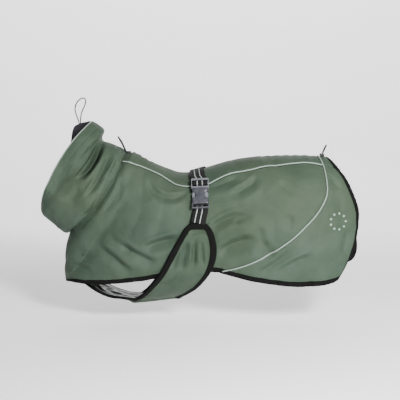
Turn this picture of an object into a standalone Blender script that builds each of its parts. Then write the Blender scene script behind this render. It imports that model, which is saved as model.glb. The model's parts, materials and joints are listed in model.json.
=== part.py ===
# Dog winter coat, in the hollow shape it has when worn, for a back length of 35 cm.
#
# The head end points to -X, the tail end to +X and the belt buckle to -Y (the near side).
# Tables are in millimetres and the meshes are written in metres.
# The trunk and the collar are "forms": ribs that run from the top line down to the hem, the chest
# line or the throat. Every panel, piping, binding and strap takes its points from those ribs.

import math

import bmesh
import bpy
import numpy as np

MM = 0.001

# --- driving dimensions, mm -------------------------------------------------------------------

SHELL_THICKNESS = 1.6        # outer cloth with its backing
LINING_THICKNESS = 0.9
SEAM_GAP = 0.3               # between two panels sewn together
LAY_GAP = 0.3                # between a panel and what lies on it
BINDING_GAP = 0.6            # between a cloth edge and the tape folded round it
HEM_GAP = 1.0                # the same at the hem, whose corners turn more sharply
HEM_CORNER_GAP = 2.87         # added at the front of the chest
FRAME_LIFT = 1.0             # puts the inner face of the back at the origin under the belt

PIPING_RADIUS = 1.1
BINDING_WIDTH = 7.5          # visible height of the edge binding
BINDING_THICKNESS = 1.0

WEBBING_WIDTH = 24.0
WEBBING_THICKNESS = 1.4

CORD_DIAMETER = 1.6
NECK_CORD_DIAMETER = 1.6

RUMP_EDGE_STATION = 347.0    # rear edge of the coat, along the spine from the neck seam
NECK_SEAM_SHIFT = 0.25       # each side of the neck seam stands back by this

WORDS = ((-1, "near"), (1, "far"))
FINE_STEPS = 160             # samples along a rib when its girth is measured


def table(columns, rows):
    """A short table as one array for each named column."""
    values = np.array(rows, float)
    return {name: values[:, i] for i, name in enumerate(columns.split())}


# --- trunk: ribs from the spine (top) to the chest line or the hem (low) ------------------------
# low_half is half the width at the low end, 0 where the rib closes on the chest line.
# top_reach and side_reach push the rib outwards near the top and the side, side_depth sets how
# far down the side stays full, and bow moves its middle rearwards.

TRUNK = table(
    "station spine_x spine_z  low_x   low_z  low_half top_reach side_reach side_depth bow", [
        (0.0, -116.7, 29.1, -215.2, -104.9, 0, 75, 75, 1.00, 13),
        (11.5, -105.2, 30.3, -222.2, -144.0, 0, 82, 82, 1.00, 10.5),
        (27.0, -92.1, 23.8, -221.6, -183.2, 0, 86, 80, 0.95, 7.5),
        (34.0, -85.6, 20.0, -217.0, -182.0, 17, 88, 72, 0.85, 5.5),
        (42.0, -78.9, 16.0, -208.4, -180.0, 30, 89, 69, 0.77, 3),
        (56.0, -65.8, 9.6, -185.7, -179.5, 46, 86, 76, 0.68, -2),
        (73.0, -49.3, 3.2, -147.7, -176.4, 60, 80, 86, 0.62, -5),
        (94.0, -29.6, -2.8, -95.0, -169.7, 69, 74, 92, 0.58, -4),
        (110.0, -13.1, -2.6, -42.0, -160.7, 71, 70, 92, 0.54, -3),
        (127.0, 3.3, 1.5, 4.2, -153.6, 72, 70, 90, 0.50, 0),
        (152.0, 26.3, 9.1, 32.8, -153.2, 73, 70, 92, 0.50, 0),
        (182.0, 55.7, 17.4, 69.3, -162.2, 75, 72, 94, 0.50, 0),
        (220.0, 93.3, 23.2, 104.1, -168.9, 76, 74, 96, 0.50, 0),
        (258.0, 130.8, 25.6, 140.4, -173.5, 76, 74, 96, 0.50, 3),
        (290.0, 163.4, 26.0, 176.9, -174.5, 74, 68, 92, 0.48, 10),
        (315.0, 187.8, 25.1, 207.2, -171.9, 69, 56, 80, 0.45, 21),
        (339.0, 211.2, 21.7, 226.5, -163.5, 60, 34, 54, 0.42, 36.8),
        (347.0, 217.5, 17.0, 225.0, -157.0, 51, 28, 42, 0.40, 37),
    ])

# Half of the spine panel's width, measured along the rib from the spine.
SPINE_SEAM = table("station girth", [
    (0, 33), (16, 32), (30, 31), (44, 32), (58, 34), (74, 38), (86, 42), (98, 48), (110, 52),
    (127, 56), (144, 57), (162, 53), (182, 50), (211, 48), (235, 44), (259, 41), (277, 38),
    (297, 34), (321, 33), (347, 32),
])

# Where the rump seam crosses the ribs: share is the part of the rib above it.
RUMP_SEAM = table("share station", [
    (0.00, 322), (0.06, 323), (0.13, 322), (0.22, 319), (0.31, 315), (0.40, 310), (0.47, 303),
    (0.54, 294), (0.61, 282), (0.69, 266), (0.77, 243), (0.85, 213), (0.92, 182), (1.00, 154),
])

# Troughs pressed into the cloth. Places are seen from the side, sag bends a trough away from the
# straight line between its ends, and width is the distance from its floor to its shoulder.
TRUNK_FOLDS = table("from_x from_z to_x to_z sag width depth", [
    (-78, -14, -16, -30, 13, 7, 3.0),      # crescent in front of the belt
    (-82, -114, -28, -97, -1, 9, 4.5),     # pulled towards the wing
    (-159, -114, -107, -155, -2, 9, 4.5),
    (-120, -112, -66, -139, 1, 10, 4.5),
    (-213, -118, -180, -135, 0, 15, 3.5),  # front of the chest
    (22, -84, 74, -61, -6, 7, 5.5),        # pulled up from the wing's rear corner
    (32, -124, 97, -98, -6, 13, 5.5),
    (98, -84, 104, -109, 0, 8, 3.0),
    (147, -62, 147, -84, 0, 8, 2.5),
    (55, -30, 96, -4, 2, 8, 2.5),
    (133, -13, 157, -27, 1, 7, 2.0),
    (124, -158, 180, -125, -3, 9, 4.5),    # lower rump
    (99, -155, 150, -113, 3, 9, 4.0),
    (246, -82, 232, -140, 2, 12, 6.5),     # beside the rear edge
    (212, 0, 228, -22, 2, 6, 2.0),
])
FAR_FOLD_SHIFT = (17.0, -6.0)   # the hidden side has the same kind of troughs, moved along

# Crosswise gathers along the spine panel: where they start and end, how many, how deep.
SPINE_GATHERS = table("first last waves depth", [
    (1.0, 46.0, 4, 1.6),
    (226.0, 318.0, 6, 1.3),
])

# --- collar: rings from the neck seam up to the rim ---------------------------------------------

COLLAR = table(
    "station spine_x spine_z  low_x   low_z  low_half top_reach side_reach side_depth bow", [
        (0.0, -117.0, 29.4, -215.5, -104.6, 0, 75, 75, 1.0, 12.5),
        (6.0, -124.0, 36.5, -221.5, -104.0, 0, 81, 81, 1.0, 12),
        (16.0, -132.5, 40.5, -229.5, -98.0, 0, 83, 82, 1.0, 9),
        (28.0, -144.0, 45.3, -238.5, -90.0, 0, 81, 80, 1.0, 4),
        (39.0, -156.0, 49.6, -248.5, -81.0, 0, 78, 79, 1.0, -1),
        (46.0, -158.6, 54.6, -252.5, -77.0, 0, 76, 78, 1.0, -3),
        (56.0, -153.7, 66.0, -256.0, -73.0, 0, 76, 77, 1.0, -5),
        (66.0, -160.5, 74.0, -259.0, -68.0, 0, 75, 76, 1.0, -6),
        (78.0, -171.9, 81.4, -259.5, -61.5, 0, 73, 75, 1.0, -8),
    ])

COLLAR_FOLDS = table("from_x from_z to_x to_z sag width depth", [
    (-152, 54, -186, -5, -5, 5, 7.5),      # deep slit running down from the nape
    (-140, 33, -176, -36, -4, 6, 3.5),
    (-187, -20, -206, -46, -2, 7, 3.0),
    (-238, -62, -226, -86, 3, 6, 2.5),     # below the throat
    (-209, 15, -228, -30, 2, 22, 4.0),     # broad dent in the side
])

LINING_DROP = 20.0            # how far the dark lining reaches down inside the rim
LINING_STAND = table("turn stand", [     # height of the lining over the rim, round from the nape
    (-1.0, -1.5), (-0.35, -1.5), (-0.12, -0.6), (0.0, 2.5), (0.12, 9.5), (0.20, 16.5),
    (0.30, 19.0), (0.40, 16.0), (0.50, 8.5), (0.62, 1.5), (1.0, -1.5),
])

# --- belly piece: a strap from the chest and a band with two wings --------------------------------

# Half of the band from a wing's top down to the belly line; y is half the width there.
WING = table("front_x front_z front_y rear_x rear_z rear_y", [
    (-9.5, -76.0, 82.0, 15.5, -76.0, 82.0),
    (-17.5, -85.0, 82.0, 23.5, -86.5, 82.0),
    (-25.5, -99.0, 82.5, 28.0, -100.0, 83.0),
    (-34.0, -114.0, 82.5, 30.0, -115.0, 83.0),
    (-45.0, -136.0, 81.0, 28.5, -131.0, 82.0),
    (-57.2, -158.5, 76.0, 23.4, -147.0, 79.0),
    (-74.9, -182.7, 62.0, 13.5, -165.0, 71.0),
    (-89.3, -199.5, 48.0, -1.0, -183.0, 59.0),
    (-101.2, -209.1, 36.0, -15.0, -195.0, 44.0),
    (-104.5, -216.0, 18.0, -27.0, -205.5, 23.0),
    (-105.5, -219.0, 0.0, -33.0, -211.0, 0.0),
])
# How the far wing differs: further to the rear and lower, by row from its top to the belly line.
FAR_WING = table("rear drop", [
    (8, 0), (8, 0), (8, 0), (8, 0), (8, 1), (7, 3), (5, 5), (3.5, 7.5), (3, 7.5), (1.5, 3), (0, 0),
])
WING_CROWN = 2.0               # outward swell between the two edges
WING_CLEARANCE = (4.4, 7.8)    # from the trunk to the wing's outer face, at its top and at the hem
WING_STEPS = 6

WING_FOLDS = table("from_x from_z to_x to_z sag width depth", [
    (-2, -106, -6, -140, 0, 4.5, 2.0),
    (-14, -108, -24, -150, 1, 4.5, 1.8),
    (8, -110, 10, -138, 0, 4.5, 1.6),
    (-27, -116, -37, -140, 0, 4.5, 1.4),
])

# The strap from the inside of the chest to the band: roll is how much higher the far edge lies.
STRAP = table("x centre_z half_width cup roll", [
    (-216.0, -170.5, 9.0, 0.0, 0.0),
    (-205.0, -174.7, 23.0, 1.0, -1.0),
    (-188.0, -183.8, 34.0, 2.0, -2.2),
    (-166.6, -198.4, 40.5, 3.0, -2.6),
    (-141.5, -210.5, 42.0, 4.0, -3.2),
    (-120.0, -215.6, 39.5, 4.5, -5.0),
])
STRAP_STEPS = 10
STRAP_JOINT_GAP = 1.8
STRAP_FREE = 2                 # rows of the strap in front of its bound edges, inside the chest
STRAP_ROW = 16                 # row of the band where the strap's edge meets it
TOP_BLEND = 2                  # rows of the band beside its slanted top corners

# --- buckle, flat size ----------------------------------------------------------------------------

BUCKLE_WIDTH = 27.6
BUCKLE_GIRTH = 73.5            # where its middle touches the side, along the rib from the spine
BUCKLE_STAND = 1.4             # from the cloth to its underside
FAR_BELT_GIRTH = 92.0          # how far down the far side the webbing runs, to the wing's top
# The belt by distance down each side: its place along the spine and its height over the cloth.
BELT = table("girth near_station near_stand far_station far_stand", [
    (0, 122.0, 2.3, 122.0, 2.3), (12, 122.8, 2.3, 123.5, 2.3), (25, 124.0, 2.7, 125.5, 2.5),
    (40, 125.6, 3.4, 128.0, 3.6), (56, 127.8, 4.2, 131.0, 4.0), (74, 129.2, 4.2, 134.0, 3.0),
    (92, 130.0, 4.2, 136.5, 3.0),
])
FEMALE_LENGTH = 35.0
FEMALE_THICKNESS = 8.0
LADDER_LENGTH = 17.0
LADDER_THICKNESS = 3.4
LADDER_BAR = 3.2
PRONG_REACH = 21.0
PRONG_WIDTH = 4.0
MOUTH_WIDTH = 22.4
MOUTH_DEPTH = 22.5
MOUTH_HEIGHT = 4.4
NOTCH_LENGTH = 11.0
NOTCH_BITE = 4.6
TAIL_SLOT = 4.4
TAIL_BAR = 2.4

# --- cords -----------------------------------------------------------------------------------------
# Free loops of drawcord: each leaves the coat, turns round and goes back in.

COLLAR_CORD = [
    (-200.3, 33.8, 73.8), (-201.2, 33.8, 79.0), (-204.3, 34.0, 87.8), (-206.9, 35.2, 96.2),
    (-207.0, 36.2, 102.8), (-205.0, 37.0, 108.8), (-201.2, 37.6, 113.8), (-196.6, 38.0, 117.0),
    (-192.3, 38.0, 117.5), (-189.7, 37.6, 114.9), (-189.5, 37.0, 110.7), (-190.9, 36.2, 105.7),
    (-193.6, 35.2, 99.8), (-196.1, 34.2, 93.2), (-197.6, 33.4, 86.0), (-197.9, 33.0, 80.2),
    (-198.1, 32.5, 75.0),
]
NECK_CORD = [
    (-119.5, -1.8, 33.2), (-120.6, -2.4, 36.2), (-122.2, -3.1, 40.0), (-124.0, -3.7, 44.0),
    (-126.2, -4.0, 48.3), (-128.7, -3.6, 52.4), (-130.5, -1.9, 55.0), (-130.9, 0.4, 55.6),
    (-130.2, 2.5, 54.3), (-128.4, 3.9, 51.4), (-126.0, 4.0, 47.6), (-124.0, 3.6, 43.6),
    (-122.2, 3.0, 39.8), (-120.6, 2.3, 36.1), (-119.5, 1.8, 33.2),
]
RUMP_CORD = [
    (203.5, -1.8, 29.3), (204.4, -2.6, 32.7), (205.5, -3.5, 35.5), (206.7, -3.9, 38.3),
    (207.9, -3.3, 40.9), (208.8, -1.6, 42.7), (209.1, 0.3, 43.1), (208.7, 2.1, 42.1),
    (207.6, 3.6, 39.7), (206.3, 3.9, 37.1), (205.2, 3.3, 34.7), (204.2, 2.5, 32.2),
    (203.5, 1.8, 29.3),
]
CORD_STEP = 3.6                # spacing of a cord's points along its smooth curve

LOCK_LENGTH = 8.6
LOCK_HEIGHT = 4.6
LOCK_WIDTH = 7.0

LEG_STRAP_WIDTH = 12.0
LEG_STRAP_THICKNESS = 1.2
LEG_STRAP = table("x near far z", [
    (247.9, 37.8, 36.3, -84.5), (249.5, 36.4, 35.0, -94.5), (250.6, 35.8, 34.9, -105.0),
    (250.2, 35.4, 35.0, -115.5), (248.1, 35.1, 35.0, -125.0), (243.6, 35.6, 35.5, -133.5),
    (236.2, 38.2, 38.2, -140.2), (229.0, 42.7, 42.6, -145.1), (223.2, 47.2, 47.0, -148.6),
])

COLOURS = {                    # base colour, roughness
    "shell": ((0.145, 0.195, 0.150), 0.55),
    "lining_dark": ((0.065, 0.060, 0.068), 0.80),
    "lining_silver": ((0.330, 0.330, 0.340), 0.35),
    "piping": ((0.400, 0.470, 0.420), 0.40),
    "binding": ((0.022, 0.021, 0.020), 0.75),
    "webbing": ((0.025, 0.025, 0.026), 0.70),
    "plastic": ((0.110, 0.115, 0.130), 0.35),
    "lock": ((0.022, 0.021, 0.020), 0.50),
    "cord": ((0.085, 0.080, 0.085), 0.75),
}


# --- small mathematics ------------------------------------------------------------------------------

def smooth(at, knots, values):
    """A curve through the knots whose slope at each one comes from its two neighbours."""
    slopes = np.gradient(values, knots)
    at = np.clip(at, knots[0], knots[-1])
    i = np.clip(np.searchsorted(knots, at, side="right") - 1, 0, len(knots) - 2)
    span = knots[i + 1] - knots[i]
    t = (at - knots[i]) / span
    rise = t * t * (3 - 2 * t)
    return (values[i] * (1 - rise) + values[i + 1] * rise
            + slopes[i] * span * t * (1 - t) ** 2 - slopes[i + 1] * span * t * t * (1 - t))


def bezier(a, b, c, d, s):
    return a * (1 - s) ** 3 + 3 * b * s * (1 - s) ** 2 + 3 * c * s * s * (1 - s) + d * s ** 3


def unit(vectors):
    return vectors / np.maximum(np.linalg.norm(vectors, axis=-1, keepdims=True), 1e-9)


def along_path(points, step):
    """Points evenly spaced on a smooth curve through the given ones, and how many there are."""
    points = np.array(points, float)
    run = np.concatenate([[0], np.cumsum(np.linalg.norm(np.diff(points, axis=0), axis=1))])
    count = max(int(round(run[-1] / step)), 2) + 1
    at = np.linspace(0, run[-1], count)
    return np.stack([smooth(at, run, points[:, k]) for k in range(3)], axis=-1)


def fold_depth(folds, x, z, shift=(0.0, 0.0)):
    """How deep the troughs of a fold table press the cloth in at points seen from the side."""
    depth = np.zeros_like(x)
    for fx, fz, tx, tz, sag, width, deep in zip(*folds.values()):
        run = math.hypot(tx - fx, tz - fz)
        ux, uz = (tx - fx) / run, (tz - fz) / run
        dx, dz = x - fx - shift[0], z - fz - shift[1]
        along = (dx * ux + dz * uz) / run
        off = dx * uz - dz * ux - 4 * sag * along * (1 - along)
        end = np.clip(np.minimum(along, 1 - along) * 3.0 + 0.35, 0, 1)
        depth += deep * np.exp(-(off / width) ** 2) * end * end * (3 - 2 * end)
    return depth


# --- forms --------------------------------------------------------------------------------------------

class Form:
    """A hollow shape given by ribs. A place on it is (station, girth): how far along the spine
    the rib starts, and how far down the rib the place is, both in mm."""

    def __init__(self, ribs, folds, far_shift, gathers=None):
        self.ribs = ribs
        self.folds = folds
        self.far_shift = far_shift
        self.gathers = gathers

    def rib(self, station, s):
        """Points at parameter s (0 top, 1 low) of the ribs at the stations, on the near side."""
        c = {name: smooth(station, self.ribs["station"], self.ribs[name]) for name in self.ribs}
        depth = bezier(0, 0, c["side_depth"], 1, s)
        half = bezier(0, c["top_reach"], c["side_reach"], c["low_half"], s)
        run_x, run_z = c["low_x"] - c["spine_x"], c["low_z"] - c["spine_z"]
        bow = c["bow"] * 4 * depth * (1 - depth) / np.hypot(run_x, run_z)
        x = c["spine_x"] + depth * run_x - bow * run_z
        z = c["spine_z"] + depth * run_z + bow * run_x
        return np.stack([x, -half, z], axis=-1)

    def lengths(self, station):
        """Distance along each rib at a fine row of parameters."""
        s = np.linspace(0, 1, FINE_STEPS)
        points = self.rib(station[:, None] + 0 * s, s[None, :] + 0 * station[:, None])
        steps = np.linalg.norm(np.diff(points, axis=1), axis=-1)
        return s, np.concatenate([np.zeros((len(station), 1)), np.cumsum(steps, axis=1)], axis=1)

    def total(self, station):
        station = np.asarray(station, float)
        return self.lengths(station.ravel())[1][:, -1].reshape(station.shape)

    def bare(self, station, girth):
        flat_station, flat_girth = station.ravel(), girth.ravel()
        s, run = self.lengths(flat_station)
        i = np.clip((run < flat_girth[:, None]).sum(axis=1) - 1, 0, FINE_STEPS - 2)
        rows = np.arange(len(i))
        share = (flat_girth - run[rows, i]) / np.maximum(run[rows, i + 1] - run[rows, i], 1e-9)
        at = s[i] + np.clip(share, 0, 1) * (s[1] - s[0])
        return self.rib(flat_station, at).reshape(station.shape + (3,))

    def place(self, station, girth, side=-1):
        """Points and outward normals, with folds. Side is -1 near and +1 far."""
        station, girth = np.broadcast_arrays(np.asarray(station, float), np.asarray(girth, float))
        nudge = 1.0
        last = self.ribs["station"][-1]
        low, high = np.clip(station - nudge, 0, last), np.clip(station + nudge, 0, last)
        total = self.total(station)
        up, down = np.clip(girth - nudge, 0, total), np.clip(girth + nudge, 0, total)
        point = self.bare(station, girth)
        share = girth / np.maximum(total, 1)
        ahead = self.bare(high, share * self.total(high)) - self.bare(low, share * self.total(low))
        across = self.bare(station, down) - self.bare(station, up)
        normal = unit(np.cross(ahead, across))
        chord = self.rib(station.ravel(), np.full(station.size, 0.5)).reshape(point.shape)
        chord[..., 1] = 0
        flip = np.sign((normal * (point - chord)).sum(axis=-1, keepdims=True))
        normal = normal * np.where(flip == 0, 1, flip)
        shift = self.far_shift if side > 0 else (0.0, 0.0)
        press = fold_depth(self.folds, point[..., 0], point[..., 2], shift)
        if self.gathers is not None:
            press = press + gather_depth(self.gathers, station, girth)
        point = point - normal * press[..., None]
        if side > 0:
            point = point * (1, -1, 1)
            normal = normal * (1, -1, 1)
        return point, normal


def gather_depth(gathers, station, girth):
    """Crosswise waves that fade out from the spine towards the spine seams."""
    depth = np.zeros_like(station)
    fade = np.clip(1.15 - girth / smooth(station, SPINE_SEAM["station"], SPINE_SEAM["girth"]), 0, 1)
    for first, last, waves, deep in zip(*gathers.values()):
        t = np.clip((station - first) / (last - first), 0, 1)
        depth += deep * (0.5 - 0.5 * np.cos(2 * np.pi * waves * t)) * fade
    return depth


trunk = Form(TRUNK, TRUNK_FOLDS, FAR_FOLD_SHIFT, SPINE_GATHERS)
collar = Form(COLLAR, COLLAR_FOLDS, (6.0, -4.0))


# --- writing solids -------------------------------------------------------------------------------------

def material(kind):
    if kind in bpy.data.materials:
        return bpy.data.materials[kind]
    made = bpy.data.materials.new(kind)
    made.use_nodes = True
    colour, roughness = COLOURS[kind]
    shader = made.node_tree.nodes["Principled BSDF"]
    shader.inputs["Base Color"].default_value = (*colour, 1)
    shader.inputs["Roughness"].default_value = roughness
    shader.inputs["Metallic"].default_value = 0
    made.diffuse_color = (*colour, 1)
    return made


def write(name, points, faces, kind):
    """One closed body from points in mm, with its faces turned outwards."""
    mesh = bpy.data.meshes.new(name)
    lifted = (np.array(points, float) + (0, 0, FRAME_LIFT)) * MM
    mesh.from_pydata(lifted.tolist(), [], faces)
    work = bmesh.new()
    work.from_mesh(mesh)
    bmesh.ops.recalc_face_normals(work, faces=work.faces)
    if work.calc_volume(signed=True) < 0:
        bmesh.ops.reverse_faces(work, faces=work.faces)
    work.to_mesh(mesh)
    work.free()
    mesh.shade_smooth()
    mesh.set_sharp_from_angle(angle=math.radians(50))
    made = bpy.data.objects.new(name, mesh)
    bpy.context.scene.collection.objects.link(made)
    made.data.materials.append(material(kind))
    return made


def wall(name, outer, inner, kind, ring=False):
    """A cloth wall between two grids of points. A ring closes on itself along its columns."""
    rows, columns = outer.shape[:2]
    count = rows * columns

    def at(i, j, layer):
        return layer * count + i * columns + j % columns

    faces = []
    spans = columns if ring else columns - 1
    for i in range(rows - 1):
        for j in range(spans):
            faces.append([at(i, j, 0), at(i, j + 1, 0), at(i + 1, j + 1, 0), at(i + 1, j, 0)])
            faces.append([at(i, j, 1), at(i + 1, j, 1), at(i + 1, j + 1, 1), at(i, j + 1, 1)])
    for j in range(spans):
        faces.append([at(0, j, 0), at(0, j, 1), at(0, j + 1, 1), at(0, j + 1, 0)])
        last = rows - 1
        faces.append([at(last, j, 0), at(last, j + 1, 0), at(last, j + 1, 1), at(last, j, 1)])
    if not ring:
        for i in range(rows - 1):
            faces.append([at(i, 0, 0), at(i + 1, 0, 0), at(i + 1, 0, 1), at(i, 0, 1)])
            last = columns - 1
            faces.append([at(i, last, 0), at(i, last, 1), at(i + 1, last, 1), at(i + 1, last, 0)])
    points = np.concatenate([outer.reshape(-1, 3), inner.reshape(-1, 3)])
    return write(name, points, faces, kind)


def loft(name, loops, kind, ring=False):
    """One closed body through loops of points, with flat ends unless it is a ring."""
    stops, sides = loops.shape[:2]
    faces = []
    for i in range(stops if ring else stops - 1):
        nxt = (i + 1) % stops
        for j in range(sides):
            k = (j + 1) % sides
            faces.append([i * sides + j, i * sides + k, nxt * sides + k, nxt * sides + j])
    if not ring:
        faces.append(list(range(sides)))
        faces.append([(stops - 1) * sides + j for j in reversed(range(sides))])
    return write(name, loops.reshape(-1, 3), faces, kind)


def sweep(name, centres, across, up, profile, kind, ring=False):
    """A profile of (across, up) offsets carried along a path."""
    profile = np.array(profile, float)
    loops = (centres[:, None] + across[:, None] * profile[None, :, :1]
             + up[:, None] * profile[None, :, 1:])
    return loft(name, loops, kind, ring)


def round_profile(radius, sides=6):
    turns = [2 * math.pi * (k + 0.5) / sides for k in range(sides)]
    return [(radius * math.cos(t), radius * math.sin(t)) for t in turns]


def strip_profile(width, thickness):
    return [(-width / 2, -thickness / 2), (width / 2, -thickness / 2),
            (width / 2, thickness / 2), (-width / 2, thickness / 2)]


def walk_in(lines, distance):
    """Points at a distance along each line of points, the lines running along the first axis."""
    steps = np.linalg.norm(np.diff(lines, axis=0), axis=-1)
    run = np.concatenate([np.zeros((1,) + steps.shape[1:]), np.cumsum(steps, axis=0)])
    i = np.clip((run < distance).sum(axis=0) - 1, 0, len(steps) - 1)
    column = np.arange(lines.shape[1])
    share = (distance - run[i, column]) / np.maximum(steps[i, column], 1e-9)
    return lines[i, column] + share[:, None] * (lines[i + 1, column] - lines[i, column])


def bind_edge(name, outer, inner, turned=0, side=None, gap=BINDING_GAP):
    """A tape folded round a cloth edge. The first row of each grid is the edge, the next rows lie
    further in on the outer and the inner face. The first turned spans have their faces split
    the other way, as the cloth under them is, and side keeps the tape off the middle plane."""
    up_outer, up_inner = walk_in(outer, BINDING_WIDTH), walk_in(inner, BINDING_WIDTH)
    out = unit(outer[0] - inner[0])
    out_up = unit(up_outer - up_inner)
    foot = unit(outer[0] - up_outer)
    near = np.broadcast_to(gap, len(out))[:, None]
    far = near + BINDING_THICKNESS
    loops = np.stack([
        up_outer + out_up * far,
        outer[0] + out * far + foot * far,
        inner[0] - out * far + foot * far,
        up_inner - out_up * far,
        up_inner - out_up * near,
        inner[0] - out * near + foot * near,
        outer[0] + out * near + foot * near,
        up_outer + out_up * near,
    ], axis=1)
    if side is not None:
        loops = stand_off_centre(loops, side)
    stops, sides = loops.shape[:2]
    faces = [list(range(sides)), [(stops - 1) * sides + j for j in reversed(range(sides))]]
    for i in range(stops - 1):
        for j in range(sides):
            k = (j + 1) % sides
            face = [i * sides + j, i * sides + k, (i + 1) * sides + k, (i + 1) * sides + j]
            if (j >= sides - 2) != (i < turned):
                face = face[1:] + face[:1]
            faces.append(face)
    return write(name, loops.reshape(-1, 3), faces, "binding")


def piping_along(name, points, normals, kind="piping"):
    run = unit(np.gradient(points, axis=0))
    out = unit(normals - (normals * run).sum(axis=1, keepdims=True) * run)
    centres = points + out * (PIPING_RADIUS + LAY_GAP)
    return sweep(name, centres, np.cross(run, out), out, round_profile(PIPING_RADIUS), kind)


# --- trunk panels -------------------------------------------------------------------------------------------

def seam_girth(station):
    return smooth(station, SPINE_SEAM["station"], SPINE_SEAM["girth"])


def rump_station(share):
    return smooth(share, RUMP_SEAM["share"], RUMP_SEAM["station"])


def column_spacing():
    """Shares along a panel, closer where the spine is gathered and at the front of the chest."""
    stretches = [(0.0, 0.07, 6), (0.07, 0.14, 8), (0.14, 0.69, 12), (0.69, 1.0, 13)]
    parts = [np.linspace(a, b, n, endpoint=False) for a, b, n in stretches]
    return np.concatenate(parts + [[1.0]])


COLUMNS = column_spacing()
SIDE_ROWS = 13                 # rows of points down a side panel
SPINE_ROWS = 4                 # rows from the spine to the spine seam
HEM_STEP = BINDING_WIDTH + 0.6
RUMP_COLUMNS = 10


def side_rows(top, total):
    """Girths of a side panel's rows from its top to the hem, the last step as wide as the tape."""
    f = np.append(np.linspace(0, 1, SIDE_ROWS - 1), 1.0)
    f = f.reshape((-1,) + (1,) * (np.ndim(total) - 1))
    girth = top + f * (total - HEM_STEP - top)
    girth[-1] = total[-1]
    return girth


def side_rows_at_rump():
    """Where the rows of a side panel meet the rump seam: stations and girths."""
    station = np.full(SIDE_ROWS, 300.0)
    for _ in range(40):
        total = trunk.total(station)
        girth = side_rows(seam_girth(station), total)
        station = 0.5 * station + 0.5 * rump_station(girth / total)
    return station, girth, total


def stand_off_centre(points, side, least=SEAM_GAP / 2):
    """Keeps a panel on its own side of the middle plane."""
    points[..., 1] = np.where(side * points[..., 1] < least, side * least, points[..., 1])
    return points


def seam_shift(station, girth, amount):
    """A seam line moved sideways by amount, its two ends only along the spine's direction."""
    run = unit(np.stack([np.gradient(station), np.gradient(girth)], axis=-1))
    slant = np.abs(run[:, 1])
    moved_station = station + amount * slant
    moved_girth = girth - amount * run[:, 0] * np.sign(run[:, 1])
    for end in (0, -1):
        moved_station[end] = station[end] + amount / max(slant[end], 0.3)
        moved_girth[end] = girth[end]
    return moved_station, moved_girth


def cloth_panel(name, station, girth, side, at_centre=False):
    """A shell panel; gives back its outer and inner grids."""
    outer, normal = trunk.place(station, girth, side)
    inner = outer - normal * SHELL_THICKNESS
    if at_centre:
        outer, inner = stand_off_centre(outer, side), stand_off_centre(inner, side)
    wall(name, outer, inner, "shell")
    return outer, inner


def side_panel(side, word):
    end_station, end_girth, _ = side_rows_at_rump()
    end_station, end_girth = seam_shift(end_station, end_girth, -SEAM_GAP * 0.75)
    station = NECK_SEAM_SHIFT + COLUMNS[None, :] * (end_station[:, None] - NECK_SEAM_SHIFT)
    top = seam_girth(station) + SEAM_GAP / 2
    girth = side_rows(top, trunk.total(station))
    girth[1:-1, -1] = end_girth[1:-1]
    return cloth_panel(f"side_panel_{word}", station, girth, side, at_centre=True)


def spine_panel():
    """One piece over the back, from the neck seam to the rump seam."""
    half = np.linspace(0, 1, SPINE_ROWS)
    station_end, girth_end, total = side_rows_at_rump()
    corner_share = girth_end[0] / total[0]
    rear = rump_station(half * corner_share) - SEAM_GAP * 0.75
    station = NECK_SEAM_SHIFT + COLUMNS[None, :] * (rear[:, None] - NECK_SEAM_SHIFT)
    girth = half[:, None] * (seam_girth(station) - SEAM_GAP / 2)
    near, near_normal = trunk.place(station, girth, -1)
    far, far_normal = trunk.place(station[1:], girth[1:], 1)
    outer = np.concatenate([near[::-1], far])
    normal = np.concatenate([near_normal[::-1], far_normal])
    outer[SPINE_ROWS - 1, :, 1] = 0
    normal[SPINE_ROWS - 1, :, 1] = 0
    wall("spine_panel", outer, outer - unit(normal) * SHELL_THICKNESS, "shell")
    return outer


def rump_panel(side, word):
    station, girth, total = side_rows_at_rump()
    corner = girth[0] / total[0]
    top = np.linspace(0, corner, SPINE_ROWS)[:-1]
    share = np.concatenate([top, girth / total])
    front = np.concatenate([rump_station(top), station])
    front, front_girth = seam_shift(front, share * trunk.total(front), SEAM_GAP * 0.75)
    back = RUMP_EDGE_STATION - BINDING_WIDTH - 0.5
    u = 1 - np.linspace(1, 0, RUMP_COLUMNS - 1)[None, :] ** 1.3
    station = front[:, None] + u * (back - front[:, None])
    edge = np.full((len(front), 1), RUMP_EDGE_STATION)
    station = np.concatenate([station, edge], axis=1)
    total = trunk.total(station)
    girth = share[:, None] * total
    girth[-2] = total[-2] - HEM_STEP
    girth[1:-1, 0] = front_girth[1:-1]
    return cloth_panel(f"rump_panel_{word}", station, girth, side, at_centre=True)


# --- trim on the trunk -------------------------------------------------------------------------------------------

def out_of(outer, inner):
    return unit(outer - inner)


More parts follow.
